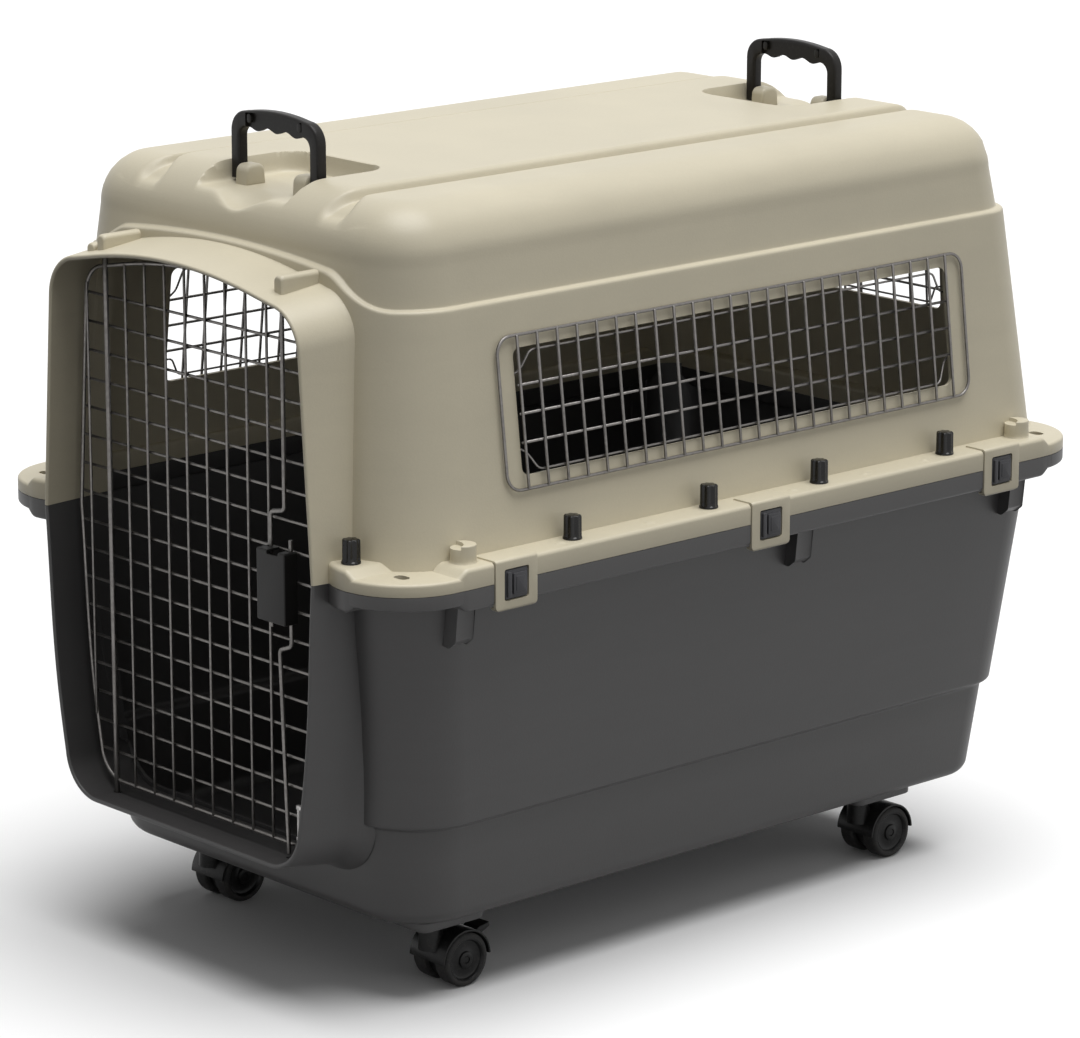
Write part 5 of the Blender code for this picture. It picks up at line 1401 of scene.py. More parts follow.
@dataclass
class Rim:
    """The rim of both shells: round lugs, raised strips, posts, the lip and its notches."""

    lug_radius: float = 0.070
    lug_x: float = 0.234
    lug_front: float = -0.3815
    lug_rear: float = 0.3915
    front: float = -0.4415
    rear: float = 0.4515
    lug_top: float = 0.437
    lug_low: float = 0.4115
    strip_top: float = 0.4445
    strip_low: float = 0.405
    strip_width: float = 0.040
    proud: float = 0.0004
    clip_half: float = 0.0258
    end_tuck: float = 0.0011
    room: float = 0.0152
    room_depth: float = 0.0078
    clip_sink: float = 0.003

    def outline(self) -> Array:
        """Return the plan of the rim: straight sides between four quarter-round lugs."""
        over = math.degrees(math.asin((self.rear - self.lug_rear) / self.lug_radius))
        rear_right = arc((self.lug_x, self.lug_rear), self.lug_radius, 0, 180 - over, 30)
        over = math.degrees(math.asin((self.lug_front - self.front) / self.lug_radius))
        front_right = arc((self.lug_x, self.lug_front), self.lug_radius, 180 + over, 360, 30)
        left = np.array([-1.0, 1.0])
        return np.concatenate([front_right, rear_right, rear_right[::-1] * left,
                               front_right[::-1] * left])

    def plate(self, name: str, low: float, high: float, upper: bool) -> Object:
        """Make one plate of the rim with its lugs, open over the cabin and the portal."""
        top_edge, low_edge = (0.0030, 0.0004) if upper else (0.0004, 0.0030)
        made = Surface()
        made.stack(slab_rings(self.outline(), low, high, Axis.Z, top_edge, 4, low_edge))
        plate = made.build(name)
        turn = even_turns(6, 10)
        half, front, rear = (float(v) for v in CRATE.plan(np.array(CRATE.rim_z)))
        x, y = plan_loop(turn, half - 0.002, front + 0.002, rear - 0.002,
                         CRATE.front_corner, CRATE.rear_corner)
        tools = [slab("rim_tool", np.stack([x, y], -1), low - 0.01, high + 0.01), bore_tool(upper)]
        return combine(plate, tools + self.holes(low, high) + self.notches())

    def holes(self, low: float, high: float) -> list[Object]:
        """Make the cutters of the oval strap holes in the lugs."""
        oval = round_rect(0.008, 0.0055, 0.0054, 8)
        reach = 0.043 / math.sqrt(2.0)
        return [slab("hole_tool", oval + np.array([side.value * (self.lug_x + reach),
                                                   y + math.copysign(reach, y)]),
                     low - 0.01, high + 0.01)
                for side in Side for y in (self.lug_front, self.lug_rear)]

    def notches(self) -> list[Object]:
        """Make the cutters of the clips' shallow seats and of the buttons' room behind them."""
        tools = []
        reach = 0.006
        for side in Side:
            for y in CLIP_YS:
                x = side.value * (CRATE.flange_half - self.clip_sink + reach)
                outer = round_rect(reach, self.clip_half, 0.001, 3) + np.array([x, y])
                tools.append(slab("notch_tool", outer, self.strip_low - 0.005,
                                  self.strip_top + 0.005))
                room = round_rect(self.room, self.room, 0.002, 4) + np.array([y, RimClip.middle])
                near, far = sorted((side.value * (CRATE.flange_half - self.room_depth),
                                    side.value * (CRATE.flange_half + reach)))
                tools.append(slab("room_tool", room, near, far, Axis.X))
        return tools

    def sunk_level(self, upper: bool) -> float:
        """Return the height inside the lug's plate to which strips and pads sink."""
        return (self.lug_top - 0.0015) if upper else (self.lug_low + 0.0015)

    def section(self, near: float, far: float, ends: Sequence[float], upper: bool) -> Array:
        """Return the section of a strip or pad: a box, rounder on top if it stands up, else below.

        Args:
            near: One edge across.
            far: The other edge across.
            ends: Its two heights, in any order.
            upper: Whether it stands up from the rim or hangs down.

        Returns:
            The closed outline.
        """
        low, high = sorted(ends)
        radii = [0.0004, 0.0004, 0.0042, 0.0042] if upper else [0.0035, 0.0035, 0.0004, 0.0004]
        return fillet([(near, low), (far, low), (far, high), (near, high)], radii, 5)

    def strip(self, name: str, length: tuple[float, float], across: tuple[float, float],
              tall: tuple[float, float], axis: Axis, upper: bool, run: float = 0.016) -> Object:
        """Make one strip as a loft along its length.

        The section is a box with round far corners. At each end its height sinks from full
        to the plate's level along a smooth step, so that it flows into the lug.

        Args:
            name: The piece's name.
            length: Start and end along its length.
            across: Its two edges across.
            tall: Height where it meets the other shell, and height of its far face.
            axis: The axis of its length, X or Y.
            upper: Whether it stands up from the rim or hangs down.
            run: Length of the sinking ends.
        """
        start, end = length
        base, far = tall
        ends = np.concatenate([start + run * np.linspace(0, 1, 13),
                               np.linspace(start + run, end - run, 9)[1:-1],
                               end - run * np.linspace(1, 0, 13)])
        share = smooth_step(0.0, 1.0, np.clip((ends - start) / run, 0, 1)) \
            * smooth_step(0.0, 1.0, np.clip((end - ends) / run, 0, 1))
        floor = self.sunk_level(upper)
        tops = floor + (far - floor) * share
        rings = []
        for along, top, tuck in zip(ends, tops, self.end_tuck * (1.0 - share)):
            section = self.section(across[0] + tuck, across[1] - tuck, (base, top), upper)
            rings.append(lay(section, along, axis))
        made = Surface()
        made.stack(np.stack(rings))
        return made.build(name, 40.0)

    def pad(self, name: str, side: Side, tall: tuple[float, float], upper: bool) -> Object:
        """Make the pad under a front knob, whose front face follows the lug's arc.

        Rings along X run outwards from the sleeve. The near edge is the arc
        y = lug_front - sqrt(R * R - (x - lug_x) ** 2), and the height sinks in an S.

        Args:
            name: The piece's name.
            side: The side of the crate.
            tall: Height where it meets the other shell, and height of its far face.
            upper: Whether it stands up from the rim or hangs down.
        """
        start, full, end = 0.1985, 0.2310, 0.2480
        along = np.concatenate([np.linspace(start, full, 8),
                                full + (end - full) * np.linspace(0, 1, 13)[1:]])
        near = self.lug_front - np.sqrt(self.lug_radius**2 - (along - self.lug_x)**2) - self.proud
        floor = self.sunk_level(upper)
        share = 1.0 - smooth_step(full, end, along)
        near = near + self.end_tuck * (1.0 - share)
        tops = floor + (tall[1] - floor) * share
        far = self.front + self.strip_width
        rings = [lay(self.section(y, far, (tall[0], top), upper), side.value * x, Axis.X)
                 for x, y, top in zip(along, near, tops)]
        made = Surface()
        made.stack(np.stack(rings))
        return made.build(name, 40.0)

    def post(self, name: str, x: float, y: float) -> Object:
        """Make one round post whose top has a lower crescent towards the front."""
        top, foot, radius = self.strip_top + 0.0168, self.strip_top - 0.002, 0.0120
        profile = bend([(foot, 0, 0.0142), (foot + 0.0030, 0, 0.0122), (foot + 0.006, 0, radius),
                        (top, 0, radius), (top, 0, 0.0)], 0.0014, 4)
        rings = revolve_rings(profile[:-1][:, [0, 2]], (x, y, 0.0), Axis.Z, 40)
        made = Surface()
        made.stack(rings)
        post = made.build(name, 40.0)
        cut = 0.0165
        step = revolve_rings(np.array([[top - 0.0035, cut], [top + 0.01, cut]]),
                             (x - 0.0080, y - 0.0145, 0.0), Axis.Z, 40)
        tool = Surface()
        tool.stack(step)
        return soften(combine(post, [tool.build("step_tool")]), 0.0008, 2)

    def bump(self, name: str, x: float, y: float) -> Object:
        """Make one low oval dome on top of a strip: a cosine hill over an ellipse."""
        angle = 2 * math.pi * np.arange(28) / 28
        share = np.linspace(1.0, 0.04, 8)[:, None]
        rise = 0.0016 * (1 + np.cos(math.pi * share)) / 2
        top = self.strip_top - 0.0002
        rings = np.stack([x + 0.0065 * share * np.cos(angle), y + 0.0095 * share * np.sin(angle),
                          top + rise + 0 * angle], -1)
        base = rings[0].copy()
        base[:, 2] = top - 0.002
        made = Surface()
        made.stack(np.concatenate([base[None], rings]))
        return made.build(name)

    def build(self, shop: Workshop) -> None:
        """Make the rim of both shells."""
        gap = CRATE.gap / 2
        high, low = CRATE.rim_z + gap, CRATE.rim_z - gap
        shop.fit(self.plate("rim_plate_upper", high, self.lug_top, True), Kind.BEIGE, "crate")
        shop.fit(self.plate("rim_plate_lower", self.lug_low, low, False), Kind.GREY, "crate")
        inner, outer = CRATE.flange_half - self.strip_width, CRATE.flange_half + self.proud
        for upper, kind, tall, word in ((True, Kind.BEIGE, (high, self.strip_top), "upper"),
                                        (False, Kind.GREY, (low, self.strip_low), "lower")):
            for side in Side:
                across = tuple(sorted((side.value * inner, side.value * outer)))
                piece = self.strip(f"side_strip_{side.word}_{word}", (-0.3830, 0.4030), across,
                                   tall, Axis.Y, upper)
                shop.fit(combine(piece, self.notches()), kind, "crate")
                piece = self.pad(f"front_pad_{side.word}_{word}", side, tall, upper)
                shop.fit(combine(piece, [bore_tool(upper)]), kind, "crate")
            across = (self.rear - self.strip_width, self.rear + self.proud)
            piece = self.strip(f"rear_strip_{word}", (-0.238, 0.238), across, tall, Axis.X, upper)
            shop.fit(piece, kind, "crate")
        for side in Side:
            for end, y in (("front", -0.354), ("rear", 0.374)):
                shop.fit(self.post(f"post_{end}_{side.word}", side.value * 0.281, y), Kind.BEIGE,
                         "crate")
            for index, y in enumerate((-0.245, -0.135, 0.052, 0.150, 0.232), start=1):
                shop.fit(self.bump(f"strip_bump_{side.word}_{index}", side.value * 0.2905, y),
                         Kind.BEIGE, "crate")


# The clips and knobs stand at shares of the crate's length, measured from its middle.
LENGTH = 0.923
CLIP_YS = tuple(share * LENGTH for share in (-0.3380, 0.0087, 0.3543))
KNOB_YS = tuple(share * LENGTH for share in (-0.2449, -0.0585, 0.0997, 0.2882))


@dataclass
class RimClip:
    """One rim clip with its sprung push button; it swings up about its top edge."""

    face: float = 0.3016
    thickness: float = 0.0040
    top: float = 0.4461
    low: float = 0.3984
    half: float = 0.0250
    reach: float = 0.022
    hook: float = 0.0042
    button: float = 0.0135
    middle: float = 0.42225

    def frame(self, name: str, side: Side, y: float) -> Object:
        """Make the clip's frame, a bent strap with a square window."""
        inside, outside = self.face, self.face + self.thickness
        top, low, thick = self.top, self.low, self.thickness
        profile = fillet([(inside - self.reach, top - thick), (inside, top - thick),
                          (inside, low + thick), (inside - self.hook, low + thick),
                          (inside - self.hook, low), (outside, low), (outside, top),
                          (inside - self.reach, top)],
                         [0, 0.0008, 0.0008, 0.0012, 0.0018, 0.0028, 0.0030, 0.0012], 4)
        flat = profile if side is Side.RIGHT else (profile * np.array([-1.0, 1.0]))[::-1]
        made = Surface()
        made.stack(slab_rings(flat, y - self.half, y + self.half, Axis.Y, 0.0005, 2))
        frame = made.build(name)
        window = round_rect(self.button + 0.0011, self.button + 0.0011, 0.0022, 5)
        xs = sorted((side.value * (inside - 0.004), side.value * (outside + 0.004)))
        tool = slab("clip_tool", window + np.array([y, self.middle]), xs[0], xs[1], Axis.X)
        return combine(frame, [tool] + self.corner_tools(side, y))

    def corner_tools(self, side: Side, y: float) -> list[Object]:
        """Make the cutters that round the two lower corners of the frame."""
        tools = []
        radius, past = 0.006, 0.003
        xs = sorted((side.value * (self.face - 0.010), side.value * (self.face + 0.012)))
        for end in (-1, 1):
            corner = np.array([y + end * self.half, self.low])
            centre = corner + np.array([-end * radius, radius])
            angles = (180, 270) if end < 0 else (270, 360)
            rounded = arc(centre, radius, angles[0], angles[1], 8)
            out = corner + np.array([end * past, -past])
            around = [[centre[0], out[1]], out, [out[0], centre[1]]]
            outline = np.concatenate([rounded, around if end < 0 else around[::-1]])
            tools.append(slab("corner_tool", outline[::-1], xs[0], xs[1], Axis.X))
        return tools

    def push(self, name: str, side: Side, y: float) -> Object:
        """Make the button: a plate with a raised bar at one end and a stepped square pad."""
        back, front = self.face - 0.0003, self.face + self.thickness - 0.0006
        plate = round_rect(self.button, self.button, 0.0020, 5) + np.array([y, self.middle])
        xs = sorted((side.value * back, side.value * front))
        made = Surface()
        made.stack(slab_rings(plate, xs[0], xs[1], Axis.X, 0.0005, 2))
        for low_y, high_y, half_z, proud in ((-0.0118, -0.0072, 0.0118, 0.0026),
                                             (-0.0048, 0.0116, 0.0098, 0.0024),
                                             (-0.0020, 0.0088, 0.0070, 0.0030)):
            centre = np.array([y + side.value * (low_y + high_y) / 2, self.middle])
            outline = round_rect((high_y - low_y) / 2, half_z, 0.0014, 4) + centre
            xs = sorted((side.value * (front - 0.0006), side.value * (front + proud - 0.0002)))
            made.stack(slab_rings(outline, xs[0], xs[1], Axis.X, 0.0005, 2))
        return made.build(name)

    def build(self, shop: Workshop) -> None:
        """Make all six clips."""
        for side in Side:
            for index, y in enumerate(CLIP_YS, start=1):
                tag = f"{side.word}_{index}"
                shop.fit(self.frame(f"clip_{tag}", side, y), Kind.BEIGE, f"clip_{tag}",
                         f"rim_clip_{tag}")
                shop.fit(self.push(f"button_{tag}", side, y), Kind.BUTTON, f"button_{tag}",
                         f"clip_button_{tag}")


@dataclass
class RimKnob:
    """One fluted knob on the rim, with a flat round-edged top and a flanged foot."""

    radius: float = 0.0090
    height: float = 0.0222
    depth: float = 0.0019
    edge: float = 0.0022
    lobes: int = 7
    base: float = 0.4448

    def build_one(self, name: str, x: float, y: float) -> Object:
        """Make a knob: radius r - d * (1 - cos(7 a)) / 2, whose flutes fade at both ends."""
        angle = 2 * math.pi * np.arange(84) / 84
        turn = np.radians(np.linspace(0, 84, 9))[1:]
        shoulder, waist = self.height - self.edge, 0.94
        z = np.concatenate([[0.0, 0.0010, 0.0014, 0.0020, 0.0030], np.linspace(0.006, shoulder, 5),
                            shoulder + self.edge * np.sin(turn)])
        r = np.concatenate([[1.0, 1.0, 0.985, 0.965, 0.96], np.linspace(0.955, waist, 5),
                            waist - (self.edge / self.radius) * (1 - np.cos(turn))])
        flute = smooth_step(0.0012, 0.0030, z) \
            * smooth_step(self.height + 0.0030, self.height - 0.0020, z)
        wave = (1 - np.cos(self.lobes * angle)) / 2
        reach = self.radius * r[:, None] - self.depth * flute[:, None] * wave[None]
        made = Surface()
        made.stack(np.stack([x + reach * np.cos(angle), y + reach * np.sin(angle),
                             self.base + z[:, None] + 0 * reach], -1))
        return made.build(name, 50.0)

    def build(self, shop: Workshop) -> None:
        """Make all twelve knobs."""
        for side in Side:
            places = [(f"{side.word}_{k}", 0.285, y) for k, y in enumerate(KNOB_YS, start=1)]
            places += [(f"front_{side.word}", 0.218, -0.4315), (f"rear_{side.word}", 0.150, 0.444)]
            for tag, x, y in places:
                shop.fit(self.build_one(f"knob_{tag}", side.value * x, y), Kind.KNOB,
                         f"knob_{tag}", f"rim_knob_{tag}")


# Wire work


@dataclass
class WireGrid:
    """Crossed wires in X and Z, welded into a bent frame wire."""

    wire: float = 0.0028
    frame: float = 0.0038
    sides: int = 10

    def straight(self, made: Surface, start: Sequence[float], end: Sequence[float],
                 radius: float) -> None:
        """Add one straight wire whose ends are slightly rounded."""
        first, last = np.asarray(start, float), np.asarray(end, float)
        along = (last - first) / np.linalg.norm(last - first)
        cap = radius * 0.45
        points = np.stack([first, first + along * cap, last - along * cap, last])
        plane = np.array([0.0, 1.0, 0.0])
        side = np.cross(along, plane)
        angle = 2 * math.pi * np.arange(self.sides) / self.sides
        ring = np.cos(angle)[:, None] * side + np.sin(angle)[:, None] * plane
        size = np.array([0.55, 1.0, 1.0, 0.55])[:, None, None] * radius
        made.stack(points[:, None] + size * ring[None])

    def lattice(self, made: Surface, outline: Array, uprights: Iterable[float],
                rails: Iterable[float], levels: tuple[float, float, float],
                rail_ends: tuple[float, float] | None = None) -> None:
        """Add the frame wire and all crossing wires.

        Args:
            made: Where the wires go.
            outline: Closed centreline of the frame wire.
            uprights: X of the upright wires.
            rails: Z of the cross wires.
            levels: Y of the uprights, of the cross wires and of the frame wire.
            rail_ends: Ends of the cross wires where they stop short of the frame.
        """
        upright_y, rail_y, frame_y = levels
        path = lay(outline, frame_y, Axis.Y)
        made.ring_solid(tube_rings(path, self.frame / 2, (0, 1, 0), self.sides, True))
        for x in uprights:
            low, high = crossings(outline, x, 0)
            self.straight(made, (x, upright_y, low), (x, upright_y, high), self.wire / 2)
        for z in rails:
            low, high = rail_ends or crossings(outline, z, 1)
            self.straight(made, (low, rail_y, z), (high, rail_y, z), self.wire / 2)


@dataclass
class Door:
    """The wire door with its hinge rod, latch cover, bolt rods and pin clip."""

    hinge_x: float = -0.1396
    pitch_x: float = 0.0298
    pitch_z: float = 0.0278
    rod_radius: float = 0.0027
    bolt_radius: float = 0.0021
    latch_x: float = 0.126
    left_x: float = 0.106
    right_x: float = 0.134
    rod_y: float = -0.4323
    box_z: float = 0.4055
    box_half: float = 0.0205
    box_tall: float = 0.0340
    box_deep: float = 0.0150
    grid: WireGrid = field(default_factory=WireGrid)

    def build(self, shop: Workshop) -> None:
        """Make the door and all that rides on it."""
        shop.fit(self.grille(), Kind.WIRE, "door", "door_grille")
        self.build_latch(shop)
        self.build_bolts(shop)
        self.build_pin(shop)

    def grille(self) -> Object:
        """Make the crossed wires, their frame and the hinge rod."""
        inset = PORTAL.wall + 0.0075 + self.grid.frame / 2
        outline = PORTAL.outline(inset)
        half = outline[:, 0].max()
        first = self.hinge_x - int((self.hinge_x + half) / self.pitch_x) * self.pitch_x
        uprights = first + self.pitch_x * np.arange(int((half - first) / self.pitch_x) + 1)
        keep = (np.abs(uprights - self.hinge_x) > CRATE.wire) \
            & (uprights > -half + 2 * CRATE.wire) & (uprights < self.latch_x - CRATE.wire)
        low, high = outline[:, 1].min(), outline[:, 1].max()
        rails = low + self.pitch_z * np.arange(1, int((high - low) / self.pitch_z))
        cross_y = CRATE.door_y + CRATE.wire * 0.96
        made = Surface()
        self.grid.lattice(made, outline, uprights[keep], rails,
                          (CRATE.door_y, cross_y, (CRATE.door_y + cross_y) / 2))
        top, floor = PORTAL.span(self.hinge_x, 0, PORTAL.wall)[::-1]
        self.grid.straight(made, (self.hinge_x, CRATE.door_y, floor - 0.007),
                           (self.hinge_x, CRATE.door_y, top + 0.007), self.rod_radius)
        return made.build("door_wires", 60.0)

    def build_latch(self, shop: Workshop) -> None:
        """Make the latch cover: a hollow round-edged box with rod slots and a notched top."""
        middle = (self.left_x + self.right_x) / 2
        back = CRATE.door_y - CRATE.wire / 2 - 0.0003
        front, edge, draft, wall = back - self.box_deep, 0.0014, 0.0003, 0.0024
        centre = np.array([middle, self.box_z])
        outline = round_rect(self.box_half, self.box_tall, 0.0022, 6) + centre
        made = Surface()
        angle = np.radians(np.linspace(0, 90, 6))
        levels = [(back, 0.0), (front + edge, draft)]
        levels += [(front + edge * (1 - math.sin(a)), draft + edge * (1 - math.cos(a)))
                   for a in angle[1:]]
        made.stack(np.stack([lay(shifted(outline, inset), y, Axis.Y) for y, inset in levels]))
        cover = made.build("latch_cover")
        hollow = round_rect(self.box_half - wall, self.box_tall - wall, 0.004, 4)
        tools = [slab("latch_tool", hollow + centre, front + wall, back + 0.004, Axis.Y)]
        for x in (self.left_x, self.right_x):
            slot = round_rect(0.0030, self.box_tall + 0.006, 0.0029, 4) + np.array([x, self.box_z])
            tools.append(slab("slot_tool", slot, self.rod_y - 0.0032, back + 0.004, Axis.Y))
        notch = round_rect(0.0080, 0.0040, 0.0010, 4) \
            + np.array([middle + 0.003, self.box_z + self.box_tall])
        tools.append(slab("notch_tool", notch, front - 0.004, back + 0.004, Axis.Y))
        shop.fit(combine(cover, tools), Kind.LATCH, "door", "latch_box")

    def build_bolts(self, shop: Workshop) -> None:
        """Make the two bolt rods with their jogs."""
        floor, top = PORTAL.span(self.latch_x, 0, PORTAL.wall)
        floor, top = floor + 0.0015, top - 0.0015
        above, below = self.box_z + self.box_tall, self.box_z - self.box_tall
        upper = ((self.latch_x, top), (self.latch_x, above + 0.036),
                 (self.left_x, above + 0.032), (self.left_x, below - 0.008))
        lower = ((self.right_x, above + 0.010), (self.right_x, below - 0.022),
                 (self.right_x - 0.017, below - 0.028), (self.latch_x, floor))
        for word, flat in (("upper", upper), ("lower", lower)):
            path = [(x, self.rod_y, z) for x, z in flat]
            made = Surface()
            made.stack(tube_rings(bend(path, 0.0045), self.bolt_radius, (0, 1, 0), 12))
            shop.fit(made.build(f"bolt_{word}", 60.0), Kind.WIRE, f"{word}_rod",
                     f"latch_rod_{word}")

    def build_pin(self, shop: Workshop) -> None:
        """Make the paired pin clip on the door's lower free corner."""
        x, z, y = 0.1440, 0.184, CRATE.door_y - CRATE.wire / 2 - 0.0028
        made = Surface()
        apart, half, thick = 0.0026, 0.015, 0.002
        for side in (-1, 1):
            self.grid.straight(made, (x + side * apart, y, z - half),
                               (x + side * apart, y, z + half), 0.0018)
        for end in (-1, 1):
            outline = round_rect(0.005, 0.0022, 0.0018, 4) + np.array([x, y])
            made.stack(slab_rings(outline, z + end * half - thick, z + end * half + thick,
                                  Axis.Z, 0.0006, 2))
        shop.fit(made.build("pin_clip"), Kind.PLATE, "door", "door_pin_clip")


@dataclass
class WindowPanel:
    """One window's wire panel with the hooks that hold it to the wall."""

    shell: UpperShell
    end_margin: float = 0.021
    top_margin: float = 0.012
    pitch: float = 0.0243
    row_pitch: float = 0.0262
    radius: float = 0.016
    grid: WireGrid = field(default_factory=lambda: WireGrid(frame=0.003))

    def build_one(self, name: str, side: int) -> Object:
        """Make the panel flat in its window's plane, then lean it against the wall."""
        length, height = self.shell.side_opening if side else self.shell.rear_opening
        wire, gap = CRATE.wire, CRATE.gap
        outline = round_rect(length / 2 + self.end_margin, height / 2 + self.top_margin,
                             self.radius, 8)
        columns, rows = round((length - 2 * wire) / self.pitch), round(height / self.row_pitch) - 1
        uprights = (length / 2 - wire) * np.linspace(-1, 1, columns + 1)
        rails = self.row_pitch * (np.arange(rows) - (rows - 1) / 2) - 0.0018
        rail_y = -gap - wire / 2
        made = Surface()
        self.grid.lattice(made, outline, uprights, rails,
                          (rail_y - wire * 0.96, rail_y, rail_y - wire * 0.5),
                          (wire * 0.4 - length / 2, length / 2 - wire * 0.4))
        self.hooks(made, length, height, rail_y)
        panel = made.build(name, 60.0)
        panel.data.transform(self.shell.window_matrix(side))
        return panel

    def hooks(self, made: Surface, length: float, height: float, level: float) -> None:
        """Add the two long wires along the opening, whose curved ends hook behind the wall."""
        for top in (-1, 1):
            z = top * (height / 2 - 0.0036)
            half = length / 2
            turn = [(half - 0.060, level, z), (half - 0.019, level, z),
                    (half - 0.013, level + 0.0020, z - top * 0.010),
                    (half - 0.007, level + 0.0045, z - top * 0.019),
                    (half + 0.0045, CRATE.wall + 0.0050, z - top * 0.022)]
            path = [(-x, y, up) for x, y, up in turn[::-1]] + turn
            made.stack(tube_rings(bend(path, 0.0055, 5), 0.0011, (0, 1, 0), 8))

    def build(self, shop: Workshop) -> None:
        """Make all three panels."""
        for word, side in (("left", -1), ("rear", 0), ("right", 1)):
            shop.fit(self.build_one(f"panel_{word}", side), Kind.WIRE, "crate",
                     f"window_panel_{word}")


# Handles


@dataclass
class Handle:
    """One bail handle, whose grip has finger waves and a recessed face."""

    half: float = 0.0635
    rise: float = 0.0595
    leg: float = 0.0125
    foot: float = 0.0054
    thickness: float = 0.0115
    corner: float = 0.020
    grip: float = 0.019
    inner_radius: float = 0.010
    wave: float = 0.0018
    bow: float = 0.004
    pivot_z: float = 0.749
    panel_half: float = 0.041

    def outline(self) -> Array:
        """Return the bail's outline in X and Z, anticlockwise from its right foot.

        The top is a parabola bow between two corner arcs. The underside of the grip is
        another parabola plus three cosine waves for the fingers, between two fillets.
        """
        top = self.pivot_z + self.rise
        low = self.pivot_z - self.foot
        inner = self.half - self.leg
        flat = self.half - self.corner
        x = np.linspace(flat, -flat, 25)[1:-1]
        bow = np.stack([x, top + self.bow * (1 - (x / flat)**2)], -1)
        right = arc((flat, top - self.corner), self.corner, 0, 88, 10)
        left = arc((-flat, top - self.corner), self.corner, 92, 180, 10)
        reach = inner - self.inner_radius
        under = np.linspace(-reach, reach, 49)
        phase = (under + reach) / (2 * reach)
        line = (top - self.grip + self.wave * np.cos(6 * math.pi * phase)
                + self.bow * (1 - (under / self.half)**2))
        edge_z = float(line[0])
        turn_left = arc((-reach, edge_z - self.inner_radius), self.inner_radius, 180, 92, 8)
        turn_right = arc((reach, edge_z - self.inner_radius), self.inner_radius, 88, 0, 8)
        return np.concatenate([
            [(inner, low), (self.half, low)], right, bow, left, [(-self.half, low), (-inner, low)],
            turn_left, np.stack([under, line], -1), turn_right])

    def build_one(self, name: str, y: float) -> Object:
        """Make the bail with rounded edges and recessed faces."""
        half = self.thickness / 2
        made = Surface()
        made.stack(slab_rings(self.outline(), y - half, y + half, Axis.Y, 0.0026, 5))
        bail = made.build(name, 45.0)
        top = self.pivot_z + self.rise
        wide, lower, upper = self.panel_half, top - 0.032, top - 0.0034
        tools = []
        for end in (-1, 1):
            across = np.linspace(wide, -wide, 33)[1:-1, None]
            panel = fillet([(-wide, lower), (wide, lower), (wide, upper),
                            *np.concatenate([across, 0 * across + upper], 1).tolist(),
                            (-wide, upper)], [0, 0, 0.001] + [0] * 31 + [0.001], 3)
            panel[:, 1] += self.bow * (1 - (panel[:, 0] / self.half)**2)
            low, high = sorted((y + end * (half - 0.0038), y + end * (half + 0.004)))
            tools.append(slab("panel_tool", panel, low, high, Axis.Y))
        return combine(bail, tools, sharp=45.0)

    def fittings(self, name: str, y: float) -> Object:
        """Make the round ears in the grip's faces and the pivot stubs at its feet."""
        made = Surface()
        half = self.thickness / 2
        top = self.pivot_z + self.rise
        for x in (-0.0365, 0.0365):
            z = top - 0.0088 + self.bow * (1 - (x / self.half)**2)
            ear = round_rect(0.0030, 0.0044, 0.0029, 5) + np.array([x, z])
            made.stack(slab_rings(ear, y - half + 0.0004, y + half - 0.0004, Axis.Y, 0.0007, 3))
        inner = self.half - self.leg
        for side in (-1, 1):
            profile = np.array([(side * (inner - 0.0065), 0.0026),
                                (side * (inner - 0.0060), 0.0030),
                                (side * (inner + 0.0040), 0.0030)])
            made.stack(revolve_rings(profile, (0.0, y, self.pivot_z), Axis.X, 24))
        return made.build(name)

    def boss(self, name: str, y: float, side: int) -> Object:
        """Make one rounded block on the seat's floor beside a leg."""
        outer = self.half - self.leg - 0.0006
        top = self.pivot_z + 0.0105
        foot = 0.7390
        outline = fillet([(y + 0.0122, foot), (y + 0.0108, top), (y - 0.0108, top),
                          (y - 0.0122, foot)], [0, 0.0078, 0.0078, 0], 8)
        low, high = sorted((side * (outer - 0.0175), side * outer))
        return slab(name, outline, low, high, Axis.X, 0.0034)

    def build(self, shop: Workshop) -> None:
        """Make both handles and the bosses of their seats."""
        for word, y in (("front", -0.332), ("rear", 0.338)):
            body = f"{word}_handle"
            shop.fit(self.build_one(f"bail_{word}", y), Kind.HANDLE, body, f"handle_{word}")
            shop.fit(self.fittings(f"bail_bosses_{word}", y), Kind.HANDLE, body)
            for side in Side:
                shop.fit(self.boss(f"pivot_boss_{word}_{side.word}", y, side.value), Kind.BEIGE,
                         "crate")


# Castors


